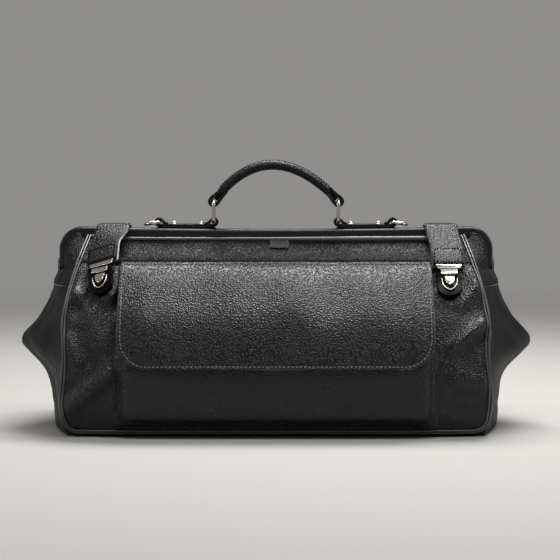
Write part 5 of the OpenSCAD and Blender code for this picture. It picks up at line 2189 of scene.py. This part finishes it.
@dataclass(frozen=True)
class SoftBox:
    """A soft lamp: its place and the place that it faces in metres, its width and height, and its power in watts."""

    name: str
    at: Place
    towards: Place
    size: Pair
    power: float

    def build(self) -> None:
        """Adds the lamp to the scene."""
        data = bpy.data.lights.new(self.name, "AREA")
        data.shape, data.energy = "RECTANGLE", self.power
        data.size, data.size_y = self.size
        lamp = bpy.data.objects.new(self.name, data)
        lamp.location = self.at
        lamp.rotation_euler = (Vector(self.towards) - Vector(self.at)).to_track_quat("-Z", "Y").to_euler()
        bpy.context.scene.collection.objects.link(lamp)


@dataclass
class Studio:
    """Pale floor, soft light and the camera."""

    lamps: tuple[SoftBox, ...] = (
        SoftBox("overhead", (0.2, 0.42, 1.45), (0.0, -0.05, 0.15), (1.3, 0.5), 28.0),
        SoftBox("front_key", (0.1, -0.6, 1.4), (0.0, -0.1, 0.12), (1.5, 0.3), 8.0),
        SoftBox("left_edge", (-1.7, -0.2, 0.8), (0.0, 0.0, 0.12), (0.3, 0.8), 4.0),
        SoftBox("right_edge", (1.7, -0.2, 0.8), (0.0, 0.0, 0.12), (0.3, 0.8), 4.0),
    )
    camera_at: Place = (0.0046, -2.324, 0.33)
    pitch: float = 86.0
    lens: float = 128.57
    sensor: float = 36.0
    floor_half: float = 14.0
    floor_colour: str = "#c4c2be"
    sky_colour: str = "#8f8e8c"
    sky_light: float = 0.3
    fade_from: float = 0.7
    fade_to: float = 2.4

    def build(self) -> None:
        """Builds the studio."""
        self.build_floor()
        self.build_world()
        for lamp in self.lamps:
            lamp.build()
        camera = bpy.data.objects.new("camera", bpy.data.cameras.new("camera"))
        camera.data.lens, camera.data.sensor_width = self.lens, self.sensor
        camera.location = self.camera_at
        camera.rotation_euler = (math.radians(self.pitch), 0, 0)
        bpy.context.scene.collection.objects.link(camera)
        bpy.context.scene.camera = camera
        bpy.context.scene.view_settings.view_transform = "Standard"

    @staticmethod
    def seen(tree: NodeTree) -> NodeSocket:
        """Finds where the camera sees a surface itself, or in metal or glass.

        Args:
            tree: Node tree of the surface.

        Returns:
            Socket that is 1 there.
        """
        path = add(tree, "ShaderNodeLightPath").outputs
        direct = add(tree, "ShaderNodeMath", {0: path["Is Camera Ray"], 1: path["Is Transmission Ray"]},
                     operation="MAXIMUM")
        return add(tree, "ShaderNodeMath", {0: direct.outputs[0], 1: path["Is Glossy Ray"]},
                   operation="MAXIMUM").outputs[0]

    def build_floor(self) -> None:
        """Builds a wide floor of matt paper that runs into the sky without a line."""
        material, tree, shader = new_material("matt_paper_floor")
        place = add(tree, "ShaderNodeTexCoord").outputs["Object"]
        grain = add(tree, "ShaderNodeTexNoise", {"Vector": place, "Scale": 900.0})
        rough = add(tree, "ShaderNodeBump", {"Height": grain.outputs[0], "Distance": 0.05 * MM})
        tree.links.new(rough.outputs[0], shader.inputs["Normal"])
        shader.inputs["Base Color"].default_value = linear(self.floor_colour)
        shader.inputs["Roughness"].default_value = 0.8
        away = add(tree, "ShaderNodeVectorMath", {0: place}, operation="LENGTH")
        far = add(tree, "ShaderNodeMapRange", {
            "Value": away.outputs["Value"], "From Min": self.fade_from, "From Max": self.fade_to},
            interpolation_type="SMOOTHSTEP")
        share = add(tree, "ShaderNodeMath", {0: far.outputs[0], 1: self.seen(tree)}, operation="MULTIPLY")
        sky = add(tree, "ShaderNodeEmission", {"Color": linear(self.sky_colour), "Strength": 1.0})
        either = add(tree, "ShaderNodeMixShader", {0: share.outputs[0], 1: shader.outputs[0], 2: sky.outputs[0]})
        end = next(node for node in tree.nodes if node.type == "OUTPUT_MATERIAL")
        tree.links.new(either.outputs[0], end.inputs["Surface"])
        mesh, r = bpy.data.meshes.new("floor"), self.floor_half
        mesh.from_pydata([(-r, -r, 0), (r, -r, 0), (r, r, 0), (-r, r, 0)], [], [(0, 1, 2, 3)])
        mesh.materials.append(material)
        link("floor", mesh)

    def build_world(self) -> None:
        """Builds a sky that looks pale and lights the object at a plain level."""
        world = bpy.data.worlds.new("studio")
        bpy.context.scene.world = world
        world.use_nodes = True
        tree = world.node_tree
        tree.nodes.clear()
        light = add(tree, "ShaderNodeBackground", {"Color": linear(self.sky_colour), "Strength": self.sky_light})
        show = add(tree, "ShaderNodeBackground", {"Color": linear(self.sky_colour), "Strength": 1.0})
        either = add(tree, "ShaderNodeMixShader", {0: self.seen(tree), 1: light.outputs[0], 2: show.outputs[0]})
        add(tree, "ShaderNodeOutputWorld", {"Surface": either.outputs[0]})


def main() -> None:
    """Builds the bag around its frame, and the studio."""
    logging.basicConfig(level=logging.INFO, format="%(message)s")
    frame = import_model()
    Studio().build()
    form, finishes = BagForm(), Finishes()
    body = Body(form, finishes)
    body.build()
    mouth = FrameMouth(form, finishes)
    mouth.build()
    for face, panel in ((Face.FRONT, body.front), (Face.REAR, body.back)):
        Piping(form, finishes, panel, mouth.yoke(face), face, mouth.bend(face)).build()
    FlapPocket(form, finishes).build()
    Label(form, finishes, mouth.yoke(Face.FRONT)).build()
    Handle(form, finishes).build()
    StrapLock(form, finishes, Side.LEFT, twist=form.lock_twist, tilt=7.0).build()
    StrapLock(form, finishes, Side.RIGHT).build()
    HiddenParts(finishes).dress(frame["nodes"])


if __name__ == "__main__":
    main()
